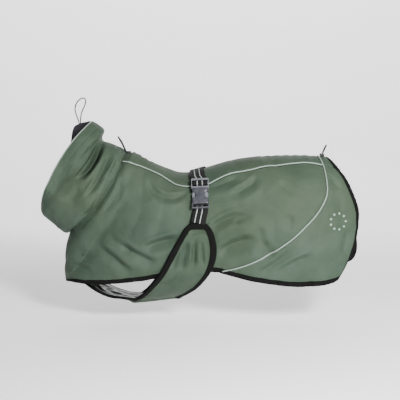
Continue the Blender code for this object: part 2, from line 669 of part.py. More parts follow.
def trunk_trim(spine, sides, rumps):
    """Pipings and bindings, all from the points of the panels that they are sewn to."""
    for word, (outer, inner), spine_row in zip(("near", "far"), sides, (spine[0], spine[-1])):
        middle = ((outer[0] + spine_row) / 2)[1:]
        back = middle[-2] - middle[-1]
        middle[-1] += unit(back) * (2 * PIPING_RADIUS + 2 * LAY_GAP)
        piping_along(f"spine_piping_{word}", middle, out_of(outer[0], inner[0])[1:])

    halves = []
    for (outer, inner), (rump_outer, rump_inner) in zip(sides, rumps):
        seam = rump_outer[:, 0].copy()
        seam[SPINE_ROWS - 1:] = (seam[SPINE_ROWS - 1:] + outer[:, -1]) / 2
        out = out_of(rump_outer[:, 0], rump_inner[:, 0])
        halves.append((seam[:-1], out[:-1]))
    (near, near_out), (far, far_out) = halves
    path = np.concatenate([near[::-1], far[1:]])
    out = np.concatenate([near_out[::-1], far_out[1:]])
    middle = len(near) - 1
    path[middle, 1] = out[middle, 1] = 0
    piping_along("rump_piping", path, out)

    first = int(np.argmin(np.abs(sides[0][0][-1, :, 2] - sides[0][0][-1, :, 2].min())))
    for (side, word), side_grids, rump_grids in zip(WORDS, sides, rumps):
        grids = []
        for side_grid, rump_grid in zip(side_grids, rump_grids):
            hem = np.concatenate([side_grid[::-1, first:], rump_grid[::-1][:SIDE_ROWS, :-1]], axis=1)
            grids.append(hem[:4])
        steps = np.arange(grids[0].shape[1])
        gap = HEM_GAP + HEM_CORNER_GAP * np.exp(-(steps / 8) ** 2)
        bind_edge(f"hem_binding_{word}", *grids, side=side, gap=gap)

    grids = []
    for near_grid, far_grid in zip(*rumps):
        across = np.concatenate([near_grid[::-1], far_grid[1:]])
        across[len(near_grid) - 1, :, 1] = 0
        grids.append(across[:, ::-1].transpose(1, 0, 2)[:4])
    bind_edge("rear_binding", *grids, turned=grids[0].shape[1] // 2)


# --- collar ---------------------------------------------------------------------------------------------------------

COLLAR_SIDE_STEPS = 16
COLLAR_STATIONS = (0.0, 3.0, 6.5, 12.0, 19.0, 27.0, 34.0, 40.0, 46.0, 52.0, 58.0, 66.0, 78.0)


def ring_grid(stations, inset=0.0):
    """Closed rings round the collar, from the nape down the near side and up the far side."""
    share = np.linspace(0, 1, COLLAR_SIDE_STEPS + 1)
    station = np.array(stations, float)[:, None] + 0 * share
    girth = share * collar.total(station)
    near, near_normal = collar.place(station, girth, -1)
    far, far_normal = collar.place(station, girth, 1)
    points = np.concatenate([near, far[:, -2:0:-1]], axis=1)
    normals = np.concatenate([near_normal, far_normal[:, -2:0:-1]], axis=1)
    for middle in (0, COLLAR_SIDE_STEPS):
        points[:, middle, 1] = 0
        normals[:, middle, 1] = 0
    normals = unit(normals)
    return points - normals * inset, normals


def ring_turns():
    """Place round a ring: 0 at the nape, -1 down the near side to the throat, 1 down the far side."""
    share = np.linspace(0, 1, COLLAR_SIDE_STEPS + 1)
    return np.concatenate([-share, share[-2:0:-1]])


def collar_pieces():
    outer, normals = ring_grid(COLLAR_STATIONS)
    wall("collar", outer, outer - normals * SHELL_THICKNESS, "shell", ring=True)

    rim, rim_normal = ring_grid(COLLAR_STATIONS[-1:])
    below, _ = ring_grid((COLLAR_STATIONS[-1] - 6.0,))
    rise = unit(rim[0] - below[0])
    middle = rim[0] - rim_normal[0] * SHELL_THICKNESS / 2
    centres = middle + rise * (PIPING_RADIUS + LAY_GAP)
    run = unit(np.roll(rim[0], -1, axis=0) - np.roll(rim[0], 1, axis=0))
    sweep("collar_piping", centres, np.cross(run, rise), rise,
          round_profile(PIPING_RADIUS), "piping", ring=True)

    stand = smooth(ring_turns(), LINING_STAND["turn"], LINING_STAND["stand"])
    lower = [COLLAR_STATIONS[-1] - LINING_DROP, COLLAR_STATIONS[-1] - LINING_DROP / 2]
    base, base_normal = ring_grid(lower + [COLLAR_STATIONS[-1]], SHELL_THICKNESS + 2 * LAY_GAP)
    step_in = (PIPING_RADIUS * 2 - SHELL_THICKNESS) / 2 + LAY_GAP
    top = base[-1] + rise * stand[:, None]
    rings = [base[0], base[1], base[-1] - rise * 3.0, top]
    ring_normals = [base_normal[0], base_normal[1], base_normal[-1], base_normal[-1]]
    outer = np.stack(rings)
    lean = np.stack(ring_normals)
    outer[2:] -= lean[2:] * step_in
    wall("collar_lining", outer, outer - lean * LINING_THICKNESS, "lining_dark", ring=True)
    return top


# --- belly piece -----------------------------------------------------------------------------------------------------

def flank_half_width(x, z, side):
    """Half the trunk's width at places seen from one side, from a close sample of its ribs."""
    station, share = np.meshgrid(np.linspace(60, 215, 64), np.linspace(0.30, 1.0, 56))
    sample, _ = trunk.place(station, share * trunk.total(station), side)
    flat = sample.reshape(-1, 3)
    gap = (x.ravel()[:, None] - flat[:, 0]) ** 2 + (z.ravel()[:, None] - flat[:, 2]) ** 2
    nearest = np.argsort(gap, axis=1)[:, :4]
    weight = 1 / (np.take_along_axis(gap, nearest, axis=1) + 0.5)
    half = side * (flat[:, 1][nearest] * weight).sum(axis=1) / weight.sum(axis=1)
    below = np.sqrt(np.take_along_axis(gap, nearest[:, :1], axis=1)[:, 0])
    return (half - 1.2 * np.clip(below - 3.0, 0, None)).reshape(x.shape)


def half_band(side):
    """One half of the belly band as a grid: rows from the wing's top to the belly line."""
    rows = np.arange(len(WING["front_x"]), dtype=float)
    at = np.linspace(0, rows[-1], 2 * len(rows) - 1)
    c = {name: smooth(at, rows, WING[name])[:, None] for name in WING}
    u = np.linspace(0, 1, WING_STEPS + 1)[None, :]
    x = c["front_x"] + u * (c["rear_x"] - c["front_x"])
    z = c["front_z"] + u * (c["rear_z"] - c["front_z"])
    y = c["front_y"] + u * (c["rear_y"] - c["front_y"])
    swell = WING_CROWN * 4 * u * (1 - u) * np.clip(at / 4, 0, 1)[:, None]
    lower = np.clip((at - 10) / 6, 0, 1)[:, None]
    y = y + swell * (1 - lower)
    z = z - swell * lower
    folds = fold_depth(WING_FOLDS, x, z)
    if side > 0:
        x = x + smooth(at, rows, FAR_WING["rear"])[:, None]
        z = z - smooth(at, rows, FAR_WING["drop"])[:, None]
    clear = np.interp(z, (-150, -80), WING_CLEARANCE[::-1])
    y = np.maximum(y, flank_half_width(x, z, side) + clear) - folds
    y[-1] = 0
    return np.stack([x, side * y, z], axis=-1)


def grid_normals(grid, outward_from):
    normal = unit(np.cross(np.gradient(grid, axis=0), np.gradient(grid, axis=1)))
    flip = np.sign((normal * (grid - outward_from)).sum(axis=-1, keepdims=True))
    return normal * np.where(flip == 0, 1, flip)


def belly_piece():
    near, far = half_band(-1), half_band(1)
    grid = np.concatenate([near, far[-2::-1]])
    normal = grid_normals(grid, np.array([-30.0, 0, -90.0]))
    inner = grid - normal * SHELL_THICKNESS
    wall("belly_band", grid, inner, "shell")

    last = grid.shape[0] - 1
    bind_edge("band_binding", *[band_outline(face) for face in (grid, inner)])
    strap(grid, inner, slice(STRAP_ROW, last - STRAP_ROW + 1))
    return grid


def band_outline(face):
    """Edge points of the band from the strap up the near wing, round its top, down its rear edge
    and up the far wing to the strap again, each with a point further in on the cloth."""
    first = STRAP_ROW - 2
    front = np.arange(first, TOP_BLEND - 1, -1)
    rear = np.arange(TOP_BLEND, len(face) - TOP_BLEND)
    edges, targets = [], []

    def add(lines):
        edges.append(lines[0])
        targets.append(walk_in(lines, BINDING_WIDTH))

    add(face[front].transpose(1, 0, 2)[:4])
    add_top(face, edges, targets)
    add(face[rear, ::-1].transpose(1, 0, 2)[:4])
    add_top(face[::-1, ::-1], edges, targets)
    add(face[len(face) - 1 - front[::-1]].transpose(1, 0, 2)[:4])
    return np.stack([np.concatenate(edges), np.concatenate(targets)])


def add_top(face, edges, targets):
    """The slanted corners and the top of a wing, whose tape points to the wing's middle."""
    front = face[TOP_BLEND - 1:0:-1, 0]
    rear = face[1:TOP_BLEND, -1]
    edge = np.concatenate([front, face[0], rear])
    deep = face[TOP_BLEND + 2]
    share = np.linspace(0.22, 0.78, len(edge))[:, None]
    target = deep[0] + share * (deep[-1] - deep[0])
    edges.append(edge)
    targets.append(edge + unit(target - edge) * BINDING_WIDTH)


def strap(band_outer, band_inner, rows):
    """The strap's rows run back to the front edge of the band between its corners."""
    joint, joint_inner = band_outer[rows, 0], band_inner[rows, 0]
    forward = unit(joint - band_outer[rows, 1])
    lines = []
    across = np.linspace(-1, 1, len(joint))
    for x in np.linspace(STRAP["x"][0], STRAP["x"][-1], STRAP_STEPS):
        c = {name: float(smooth(x, STRAP["x"], STRAP[name])) for name in STRAP}
        z = c["centre_z"] + c["cup"] * across ** 2 + c["roll"] * across
        lines.append(np.stack([np.full_like(across, x), c["half_width"] * across, z], axis=-1))
    outer = np.stack(lines + [joint + forward * STRAP_JOINT_GAP])
    normal = grid_normals(outer, np.array([-150.0, 0, -60.0]))
    inner = outer - normal * SHELL_THICKNESS
    inner[-1] = joint_inner + forward * STRAP_JOINT_GAP
    wall("chest_strap", outer, inner, "shell")
    for word, order in (("near", 1), ("far", -1)):
        sides = [face[STRAP_FREE:, ::order].transpose(1, 0, 2)[:4] for face in (outer, inner)]
        bind_edge(f"strap_binding_{word}", *sides, turned=STRAP_STEPS * (order > 0))

    inner, normal = inner[STRAP_FREE:-1], normal[STRAP_FREE:-1]
    width = np.linalg.norm(inner[:, -1] - inner[:, 0], axis=1)
    keep = np.clip(1 - 2 * (BINDING_WIDTH + LAY_GAP * 3) / width, 0.15, 1)
    count = inner.shape[1]
    at = (count - 1) * (0.5 + (np.linspace(0, 1, count)[None, :] - 0.5) * keep[:, None])
    low = np.clip(at.astype(int), 0, count - 2)
    part = (at - low)[..., None]
    line = np.arange(len(inner))[:, None]
    cloth = inner[line, low] * (1 - part) + inner[line, low + 1] * part
    top = cloth - normal * LAY_GAP * 1.5
    wall("chest_strap_lining", top, top - normal * LINING_THICKNESS, "lining_silver")


# --- belt and buckle ------------------------------------------------------------------------------------------------------

def belt_surface(girth, side):
    """Highest cloth under the webbing at a distance down one side, the way out of it, the way
    across the webbing there and the height of the webbing's middle over it."""
    girth = np.atleast_1d(np.asarray(girth, float))
    word = WORDS[side > 0][1]
    station = smooth(girth, BELT["girth"], BELT[f"{word}_station"])
    point, _ = trunk.place(station, girth, side)
    reach = WEBBING_WIDTH / 2
    fore, _ = trunk.place(station - reach, girth, side)
    aft, _ = trunk.place(station + reach, girth, side)
    across = unit(aft - fore)
    lower, _ = trunk.place(station, girth + 3.0, side)
    upper, _ = trunk.place(station, girth - 3.0, side)
    out = unit(np.cross(lower - upper, across)) * (-side)
    lift = np.zeros(girth.shape)
    for share in (-1.0, -0.5, 0.5, 1.0):
        beside, _ = trunk.place(station + reach * share, girth, side)
        lift = np.maximum(lift, ((beside - point) * out).sum(axis=1))
    stand = smooth(girth, BELT["girth"], BELT[f"{word}_stand"])
    return point + out * lift[:, None], out, across, stand


def buckle_frame():
    """Middle of the buckle's underside, the ways across it, down along it and out of it."""
    point, out, across, _ = [v[0] for v in belt_surface(BUCKLE_GIRTH, -1)]
    across = unit(across * (1, 1, 0.2))
    out = unit(out - (out * across).sum() * across)
    down = unit(np.cross(across, out))
    down = down if down[2] < 0 else -down
    centre = point + out * BUCKLE_STAND
    return centre, across, down, out


def buckle_point(frame, right, along, up):
    centre, across, down, out = frame
    return centre + across * right + down * along + out * up


def block(name, frame, size, middle, kind=None):
    """A box in the buckle's own frame: size and middle are (across, along, up)."""
    corners = [(a, b, c) for a in (-0.5, 0.5) for b in (-0.5, 0.5) for c in (-0.5, 0.5)]
    points = [buckle_point(frame, *(m + s * q for m, s, q in zip(middle, size, corner)))
              for corner in corners]
    faces = [[0, 1, 3, 2], [4, 6, 7, 5], [0, 4, 5, 1], [2, 3, 7, 6], [0, 2, 6, 4], [1, 5, 7, 3]]
    made = write(name, points, faces, kind or "plastic")
    if kind is None:
        made.hide_render = True
        made.display_type = "WIRE"
    return made


def cut(piece, cutters):
    for cutter in cutters:
        boolean = piece.modifiers.new("cut", "BOOLEAN")
        boolean.operation = "DIFFERENCE"
        boolean.solver = "EXACT"
        boolean.object = cutter


def plate(name, frame, outline, low, high):
    """An outline in (across, along) given a thickness from low to high."""
    count = len(outline)
    points = [buckle_point(frame, a, b, level) for level in (low, high) for a, b in outline]
    faces = [list(range(count)), [count + k for k in reversed(range(count))]]
    for k in range(count):
        n = (k + 1) % count
        faces.append([k, count + k, count + n, n])
    return write(name, points, faces, "plastic")


def buckle():
    frame = buckle_frame()
    total = LADDER_LENGTH + FEMALE_LENGTH
    join = -total / 2 + LADDER_LENGTH              # along: where the two halves meet
    end = total / 2
    half = BUCKLE_WIDTH / 2

    shell_outline = [(-half + 0.8, join + 0.3), (half - 0.8, join + 0.3), (half, join + 1.8),
                     (half - 0.5, join + 7.0), (half - 0.5, join + 18.0), (half, join + 24.0),
                     (half + 0.6, end - 1.5), (half - 0.4, end), (-half + 0.4, end),
                     (-half - 0.6, end - 1.5), (-half, join + 24.0), (-half + 0.5, join + 18.0),
                     (-half + 0.5, join + 7.0), (-half, join + 1.8)]
    female = plate("buckle_female", frame, shell_outline, 0, FEMALE_THICKNESS)
    bevel = female.modifiers.new("edges", "BEVEL")
    bevel.width = 1.6 * MM
    bevel.segments = 2
    bevel.limit_method = "ANGLE"
    bevel.angle_limit = math.radians(60)
    middle = FEMALE_THICKNESS / 2
    notch_along = join + 12.5
    cutters = [
        block("cut_mouth", frame, (MOUTH_WIDTH, MOUTH_DEPTH * 2, MOUTH_HEIGHT), (0, join, middle)),
        block("cut_tail", frame, (WEBBING_WIDTH + 0.4, TAIL_SLOT, FEMALE_THICKNESS * 2),
              (0, end - TAIL_BAR - TAIL_SLOT / 2, middle)),
    ]
    for sign in (-1, 1):
        cutters.append(block(f"cut_notch_{'ab'[sign > 0]}", frame,
                             (NOTCH_BITE * 2, NOTCH_LENGTH, FEMALE_THICKNESS * 2),
                             (sign * (half + 0.2), notch_along, middle)))
    cut(female, cutters)

    low = middle - LADDER_THICKNESS / 2
    high = middle + LADDER_THICKNESS / 2
    inner = MOUTH_WIDTH / 2 - 0.5
    tip = join + PRONG_REACH
    right = [(half, -total / 2 + 1.0), (half, join - 0.2), (inner, join - 0.2),
             (inner, notch_along - NOTCH_LENGTH / 2 + 0.6), (half - 1.2, notch_along - 3.6),
             (half - 1.2, notch_along + 3.2), (inner - 1.5, tip - 1.0), (inner - 3.0, tip),
             (inner - PRONG_WIDTH, tip - 1.5), (inner - PRONG_WIDTH, join + 3.0),
             (3.2, join + 3.0), (2.4, tip - 5.0)]
    left = [(-a, b) for a, b in reversed(right)]
    male = plate("buckle_male", frame, right + left + [(-half + 1.0, -total / 2),
                                                       (half - 1.0, -total / 2)], low, high)
    slot = (LADDER_LENGTH - 3 * LADDER_BAR) / 2
    for number, word in enumerate(("upper", "lower")):
        along = -total / 2 + LADDER_BAR + slot / 2 + number * (slot + LADDER_BAR)
        cut(male, [block(f"cut_slot_{word}", frame, (WEBBING_WIDTH + 0.9, slot, 20.0),
                         (0, along, middle))])
    return frame, total, slot, middle, low, high


def belt(wing_grid):
    frame, total, slot, middle, low, high = buckle()
    centre, across, down, out = frame
    thick = WEBBING_THICKNESS
    start = -total / 2
    bar = LADDER_BAR
    lift = thick / 2 + LAY_GAP
    first_slot = start + bar + slot / 2
    middle_bar = start + bar + slot + bar / 2
    second_slot = start + 2 * bar + slot * 1.5

    over = [buckle_point(frame, 0, second_slot, low + 0.2),
            buckle_point(frame, 0, second_slot, high - 0.4),
            buckle_point(frame, 0, second_slot - 0.9, high + lift),
            buckle_point(frame, 0, middle_bar, high + lift + 0.2),
            buckle_point(frame, 0, first_slot + 0.9, high + lift),
            buckle_point(frame, 0, first_slot, high - 0.4),
            buckle_point(frame, 0, first_slot, low + 0.4),
            buckle_point(frame, 0, first_slot - 0.9, low - lift),
            buckle_point(frame, 0, start + bar / 2, low - lift - 1.2)]
    over_across = [across] * len(over)
    near_girth = np.linspace(BUCKLE_GIRTH - total / 2 - 12.0, 0.0, 5)
    far_girth = np.linspace(0.0, FAR_BELT_GIRTH, 12)[1:]
    for girths, side in ((near_girth, -1), (far_girth, 1)):
        points, outs, crosses, stand = belt_surface(girths, side)
        over += [p + n * rise for p, n, rise in zip(points, outs, stand)]
        over_across += list(crosses)
    over_across = np.array(over_across)
    for pull, i in ((0.95, 9), (0.6, 10), (0.3, 11)):
        over_across[i] = unit(over_across[i] + pull * (across - over_across[i]))
    ribbon("webbing_upper", np.array(over), over_across, WEBBING_WIDTH)

    end = total / 2
    tail = end - TAIL_BAR - TAIL_SLOT / 2
    wing_top = wing_grid[0].mean(axis=0)
    under = [buckle_point(frame, 0, tail, FEMALE_THICKNESS - 3.4),
             buckle_point(frame, 0, tail, 1.0),
             buckle_point(frame, 0, tail + 0.7, -0.7),
             buckle_point(frame, 0, end - TAIL_BAR, -1.3),
             buckle_point(frame, 0, end + 1.0, -1.3)]
    leave = under[-1]
    goal = wing_top + np.array([0, -0.2, BINDING_GAP + BINDING_THICKNESS + 3.6])
    for t in (0.35, 0.7, 1.0):
        under.append(leave + (goal - leave) * t + out * 3.2 * t * (1 - t))
    ribbon("webbing_lower", np.array(under), np.tile(across, (len(under), 1)), WEBBING_WIDTH - 0.6)


def ribbon(name, points, across, width):
    run = unit(np.gradient(points, axis=0))
    across = unit(across - (across * run).sum(axis=1, keepdims=True) * run)
    sweep(name, points, across, np.cross(run, across), strip_profile(width, WEBBING_THICKNESS),
          "webbing")


# --- cords, locks and leg straps -----------------------------------------------------------------------------------------------

def cord(name, route, diameter):
    points = along_path(route, CORD_STEP)
    curve = bpy.data.curves.new(name, "CURVE")
    curve.dimensions = "3D"
    curve.bevel_depth = diameter / 2 * MM
    curve.bevel_resolution = 2
    curve.use_fill_caps = True
    spline = curve.splines.new("POLY")
    spline.points.add(len(points) - 1)
    for knot, (x, y, z) in zip(spline.points, points):
        knot.co = (x * MM, y * MM, (z + FRAME_LIFT) * MM, 1)
    made = bpy.data.objects.new(name, curve)
    bpy.context.scene.collection.objects.link(made)
    curve.materials.append(material("cord"))


def lock(name, middle, tilt):
    """A small rounded cord lock lying on the spine; tilt is its slope towards the tail."""
    rings = 5
    sides = 8
    points = []
    for i in range(rings):
        t = -1 + 2 * i / (rings - 1)
        scale = math.sqrt(max(1 - (abs(t) ** 3) * 0.62, 0))
        for k in range(sides):
            turn = 2 * math.pi * (k + 0.5) / sides
            along = t * LOCK_LENGTH / 2
            up = LOCK_HEIGHT / 2 * scale * math.sin(turn)
            points.append((middle[0] + along * math.cos(tilt) - up * math.sin(tilt),
                           middle[1] + LOCK_WIDTH / 2 * scale * math.cos(turn),
                           middle[2] + along * math.sin(tilt) + up * math.cos(tilt)))
    faces = [list(range(sides)), [(rings - 1) * sides + k for k in reversed(range(sides))]]
    for i in range(rings - 1):
        for k in range(sides):
            n = (k + 1) % sides
            faces.append([i * sides + k, i * sides + n, (i + 1) * sides + n, (i + 1) * sides + k])
    write(name, points, faces, "lock")


def leg_straps():
    for side, word in WORDS:
        points = np.stack([LEG_STRAP["x"], side * LEG_STRAP[word], LEG_STRAP["z"]], axis=-1)
        run = unit(np.gradient(points, axis=0))
        across = unit(np.cross(run, np.array([0.75, 0, 0.0]) + np.array([0, side * -0.2, 0.6])))
        sweep(f"leg_strap_{word}", points, across, np.cross(run, across),
              strip_profile(LEG_STRAP_WIDTH, LEG_STRAP_THICKNESS), "binding")


# --- the coat ---------------------------------------------------------------------------------------------------------------------

def clear_scene():
    for old in list(bpy.data.objects):
        bpy.data.objects.remove(old, do_unlink=True)


def main():
    clear_scene()
    spine = spine_panel()
    sides = [side_panel(side, word) for side, word in WORDS]
    rumps = [rump_panel(side, word) for side, word in WORDS]
    trunk_trim(spine, sides, rumps)
    collar_pieces()
    grid = belly_piece()
    belt(grid)
    cord("collar_cord", COLLAR_CORD, CORD_DIAMETER)
    cord("neck_cord", NECK_CORD, NECK_CORD_DIAMETER)
    cord("rump_cord", RUMP_CORD, NECK_CORD_DIAMETER)
    lock("neck_cord_lock", (-112.6, 0.0, 31.4), math.radians(-4))
    lock("rump_cord_lock", (202.2, 0.0, 27.1), math.radians(-14))
    leg_straps()


main()
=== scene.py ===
import json
import math

import bmesh
import bpy
import numpy as np
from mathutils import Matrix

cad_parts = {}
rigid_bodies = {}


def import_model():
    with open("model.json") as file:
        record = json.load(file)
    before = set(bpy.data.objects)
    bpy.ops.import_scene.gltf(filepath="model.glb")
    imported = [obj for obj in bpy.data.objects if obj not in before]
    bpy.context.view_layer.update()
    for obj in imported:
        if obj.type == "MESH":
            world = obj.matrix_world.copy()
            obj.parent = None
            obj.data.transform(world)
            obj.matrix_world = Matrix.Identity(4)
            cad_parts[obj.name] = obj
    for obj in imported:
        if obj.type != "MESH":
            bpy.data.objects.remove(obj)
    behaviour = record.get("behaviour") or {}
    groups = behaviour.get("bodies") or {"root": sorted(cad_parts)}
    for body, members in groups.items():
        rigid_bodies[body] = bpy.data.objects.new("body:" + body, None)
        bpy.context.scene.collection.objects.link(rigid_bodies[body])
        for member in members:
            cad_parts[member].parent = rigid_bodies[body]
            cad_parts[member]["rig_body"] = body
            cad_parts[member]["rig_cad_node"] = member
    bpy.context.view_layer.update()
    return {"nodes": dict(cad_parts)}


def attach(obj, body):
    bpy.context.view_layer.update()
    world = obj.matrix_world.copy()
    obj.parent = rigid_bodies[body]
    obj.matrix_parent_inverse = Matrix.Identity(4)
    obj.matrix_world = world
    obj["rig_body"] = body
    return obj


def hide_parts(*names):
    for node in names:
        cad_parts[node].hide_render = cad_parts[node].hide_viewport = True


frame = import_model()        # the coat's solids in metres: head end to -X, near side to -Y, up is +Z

mm = 0.001
lift = 1.0                # mm that the tables stand lower than the solids
sides = ((-1, "Near", "near"), (1, "Far", "far"))     # sign of y, and the words in names


# number tables: one array for each named column
def columnsOf(names, rows):
    values = np.array(rows, float)
    return {name: values[:, i] for i, name in enumerate(names.split())}


# a rib runs from the spine down to (lowX, lowZ), where it is lowHalf from the middle; the reaches
# and sideDepth are its inner curve points, bow bends it towards the head
ribColumns = "station spineX spineZ lowX lowZ lowHalf topReach sideReach sideDepth bow"
trunk = {
    "ribs": columnsOf(ribColumns, [
        (0.0, -116.7, 29.1, -215.2, -104.9, 0, 75, 75, 1.00, 13),
        (11.5, -105.2, 30.3, -222.2, -144.0, 0, 82, 82, 1.00, 10.5),
        (27.0, -92.1, 23.8, -221.6, -183.2, 0, 86, 80, 0.95, 7.5),
        (34.0, -85.6, 20.0, -217.0, -182.0, 17, 88, 72, 0.85, 5.5),
        (42.0, -78.9, 16.0, -208.4, -180.0, 30, 89, 69, 0.77, 3),
        (56.0, -65.8, 9.6, -185.7, -179.5, 46, 86, 76, 0.68, -2),
        (73.0, -49.3, 3.2, -147.7, -176.4, 60, 80, 86, 0.62, -5),
        (94.0, -29.6, -2.8, -95.0, -169.7, 69, 74, 92, 0.58, -4),
        (110.0, -13.1, -2.6, -42.0, -160.7, 71, 70, 92, 0.54, -3),
        (127.0, 3.3, 1.5, 4.2, -153.6, 72, 70, 90, 0.50, 0),
        (152.0, 26.3, 9.1, 32.8, -153.2, 73, 70, 92, 0.50, 0),
        (182.0, 55.7, 17.4, 69.3, -162.2, 75, 72, 94, 0.50, 0),
        (220.0, 93.3, 23.2, 104.1, -168.9, 76, 74, 96, 0.50, 0),
        (258.0, 130.8, 25.6, 140.4, -173.5, 76, 74, 96, 0.50, 3),
        (290.0, 163.4, 26.0, 176.9, -174.5, 74, 68, 92, 0.48, 10),
        (315.0, 187.8, 25.1, 207.2, -171.9, 69, 56, 80, 0.45, 21),
        (339.0, 211.2, 21.7, 226.5, -163.5, 60, 34, 54, 0.42, 36.8),
        (347.0, 217.5, 17.0, 225.0, -157.0, 51, 28, 42, 0.40, 37),
    ]),
    "spineSeam": columnsOf("station girth", [
        (0, 33), (8, 35.5), (16, 36), (30, 33.5), (44, 33), (58, 34.5), (74, 38), (86, 42),
        (98, 48), (110, 52), (127, 56), (144, 57), (162, 53), (182, 50), (211, 48), (235, 44),
        (259, 41), (277, 38), (297, 34), (321, 33), (347, 32),
    ]),
    "rumpSeam": columnsOf("share station", [
        (0.00, 322), (0.06, 323), (0.13, 322), (0.22, 319), (0.31, 315), (0.40, 310), (0.47, 303),
        (0.54, 294), (0.61, 282), (0.69, 266), (0.77, 243), (0.85, 213), (0.92, 182), (1.00, 154),
    ]),
    # troughs seen from the side; sag bends one, width is from its floor to its shoulder
    "folds": columnsOf("fromX fromZ toX toZ sag width depth", [
        (-78, -14, -16, -30, 13, 6, 2.8), (-82, -114, -28, -97, -1, 8, 4.5),
        (-159, -114, -107, -155, -2, 8, 3.4), (-120, -112, -66, -139, 1, 8, 3.8),
        (-208, -114, -176, -138, 0, 15, 1.6), (22, -84, 76, -60, -6, 7.0, 3.5),
        (32, -124, 97, -98, -6, 11, 5.0), (98, -80, 104, -111, 0, 9, 1.8),
        (147, -60, 148, -86, 0, 8, 1.2), (55, -30, 96, -4, 2, 7, 2.4),
        (130, -11, 159, -29, 1, 7, 1.1), (120, -159, 184, -124, -3, 8, 3.2),
        (95, -157, 154, -111, 3, 8, 2.8), (243, -84, 233, -128, 2, 11, 3.0),
        (212, 0, 228, -22, 2, 6, 1.2), (228, -32, 229, -60, 1, 6, 0.8),
        (18, -20, 68, -3, 1, 6, 1.6), (-120, -8, -152, -62, -5, 5, 1.6),
        (-214, -148, -166, -160, -2, 7, 1.8), (-140, -96, -104, -120, 2, 9, 1.6),
        (58, -75, 88, -64, -3, 6.5, 1.2), (104, -100, 120, -128, 0, 10, 2.2),
    ]),
    "farShift": (17.0, -6.0),      # how the far side's folds are moved
    "gathers": columnsOf("first last waves depth", [(1, 46, 4, 1.1), (226, 318, 6, 0.8)]),
    "foldGain": 1.95,              # how much deeper the folds are than the table says
    "crease": 0.55,                # height of the small irregular waves, mm
    "ridge": 0.7,                  # depth of the sharp little folds, mm
}
collar = {
    "ribs": columnsOf(ribColumns, [
        (0.0, -117.0, 29.4, -215.5, -104.6, 0, 75, 75, 1.0, 12.5),
        (6.0, -124.0, 36.5, -221.5, -104.0, 0, 81, 81, 1.0, 12),
        (16.0, -132.5, 40.5, -229.5, -98.0, 0, 83, 82, 1.0, 9),
        (28.0, -144.0, 45.3, -238.5, -90.0, 0, 81, 80, 1.0, 4),
        (39.0, -156.0, 49.6, -248.5, -81.0, 0, 78, 79, 1.0, -1),
        (46.0, -158.6, 54.6, -252.5, -77.0, 0, 76, 78, 1.0, -3),
        (56.0, -153.7, 66.0, -256.0, -73.0, 0, 76, 77, 1.0, -5),
        (66.0, -160.5, 74.0, -259.0, -68.0, 0, 75, 76, 1.0, -6),
        (78.0, -171.9, 81.4, -259.5, -61.5, 0, 73, 75, 1.0, -8),
    ]),
    "folds": columnsOf("fromX fromZ toX toZ sag width depth", [
        (-156, 47, -187, -6, -5, 4.6, 9.5), (-140, 33, -176, -36, -4, 5, 3.8),
        (-186, -22, -207, -44, -2, 9, 1.4), (-238, -58, -226, -88, 3, 8, 1.6),
        (-206, 18, -232, -34, 2, 24, 4.5),
        (-128, 24, -148, -8, -4, 4.5, 1.8), (-160, -40, -186, -70, -4, 5, 1.6),
    ]),
    "farShift": (6.0, -4.0),
    "foldGain": 1.75, "crease": 0.6, "ridge": 0.4,
    "rimStitch": 11,               # how far the lining's stitched line is below the rim
    "liningDrop": 20.0,            # how far the dark lining reaches down inside the rim
    "liningStand": columnsOf("turn stand", [
        (-1.0, -1.5), (-0.35, -1.5), (-0.12, -0.6), (0.0, 2.5), (0.12, 10.5), (0.19, 18.0),
        (0.245, 21.5), (0.30, 19.0), (0.38, 12.0), (0.47, 5.0), (0.58, 0.5), (1.0, -1.5),
    ]),
}
# mm: thicknesses, the radius of a piping and the width that a tape covers
cloth = {"shell": 1.6, "lining": 0.9, "piping": 0.95, "tapeWidth": 7.5, "tape": 0.9}
trough = {"above": 0.62, "below": 1.15,                       # its width on either side
          "bell": 0.72, "crease": 0.28, "sharp": 7, "blunt": 0.05,
          "shoulder": 0.24, "shoulderAt": 1.9, "shoulderReach": 0.7, "fade": 2.8, "atEnd": 0.22}


# cubic through the knots; the slope at a knot is the central difference of its neighbours
def curveThrough(at, knots, values):
    slopes = np.gradient(values, knots)
    at = np.clip(at, knots[0], knots[-1])
    i = np.clip(np.searchsorted(knots, at, side="right") - 1, 0, len(knots) - 2)
    span = knots[i + 1] - knots[i]
    t = (at - knots[i]) / span
    rise = t * t * (3 - 2 * t)
    return (values[i] * (1 - rise) + values[i + 1] * rise
            + slopes[i] * span * t * (1 - t) ** 2 - slopes[i + 1] * span * t * t * (1 - t))


# cubic curve with two inner control values
def bezier(a, b, c, d, s):
    return a * (1 - s) ** 3 + 3 * b * s * (1 - s) ** 2 + 3 * c * s * s * (1 - s) + d * s ** 3


# a vector over its own length
def unit(v):
    return v / np.maximum(np.linalg.norm(v, axis=-1, keepdims=True), 1e-9)


# running sum of the steps between neighbouring points
def distances(points):
    steps = np.linalg.norm(np.diff(points, axis=-2), axis=-1)
    return np.concatenate([np.zeros(steps.shape[:-1] + (1,)), np.cumsum(steps, axis=-1)], axis=-1)


# the same for x, y and z of points
def pathThrough(at, knots, points):
    return np.stack([curveThrough(at, knots, points[:, k]) for k in range(3)], axis=-1)


# points at an even step on a smooth curve through the given ones
def evenly(points, step):
    points = np.array(points, float)
    run = distances(points)
    return pathThrough(np.linspace(0, run[-1], max(int(round(run[-1] / step)), 2) + 1), run, points)


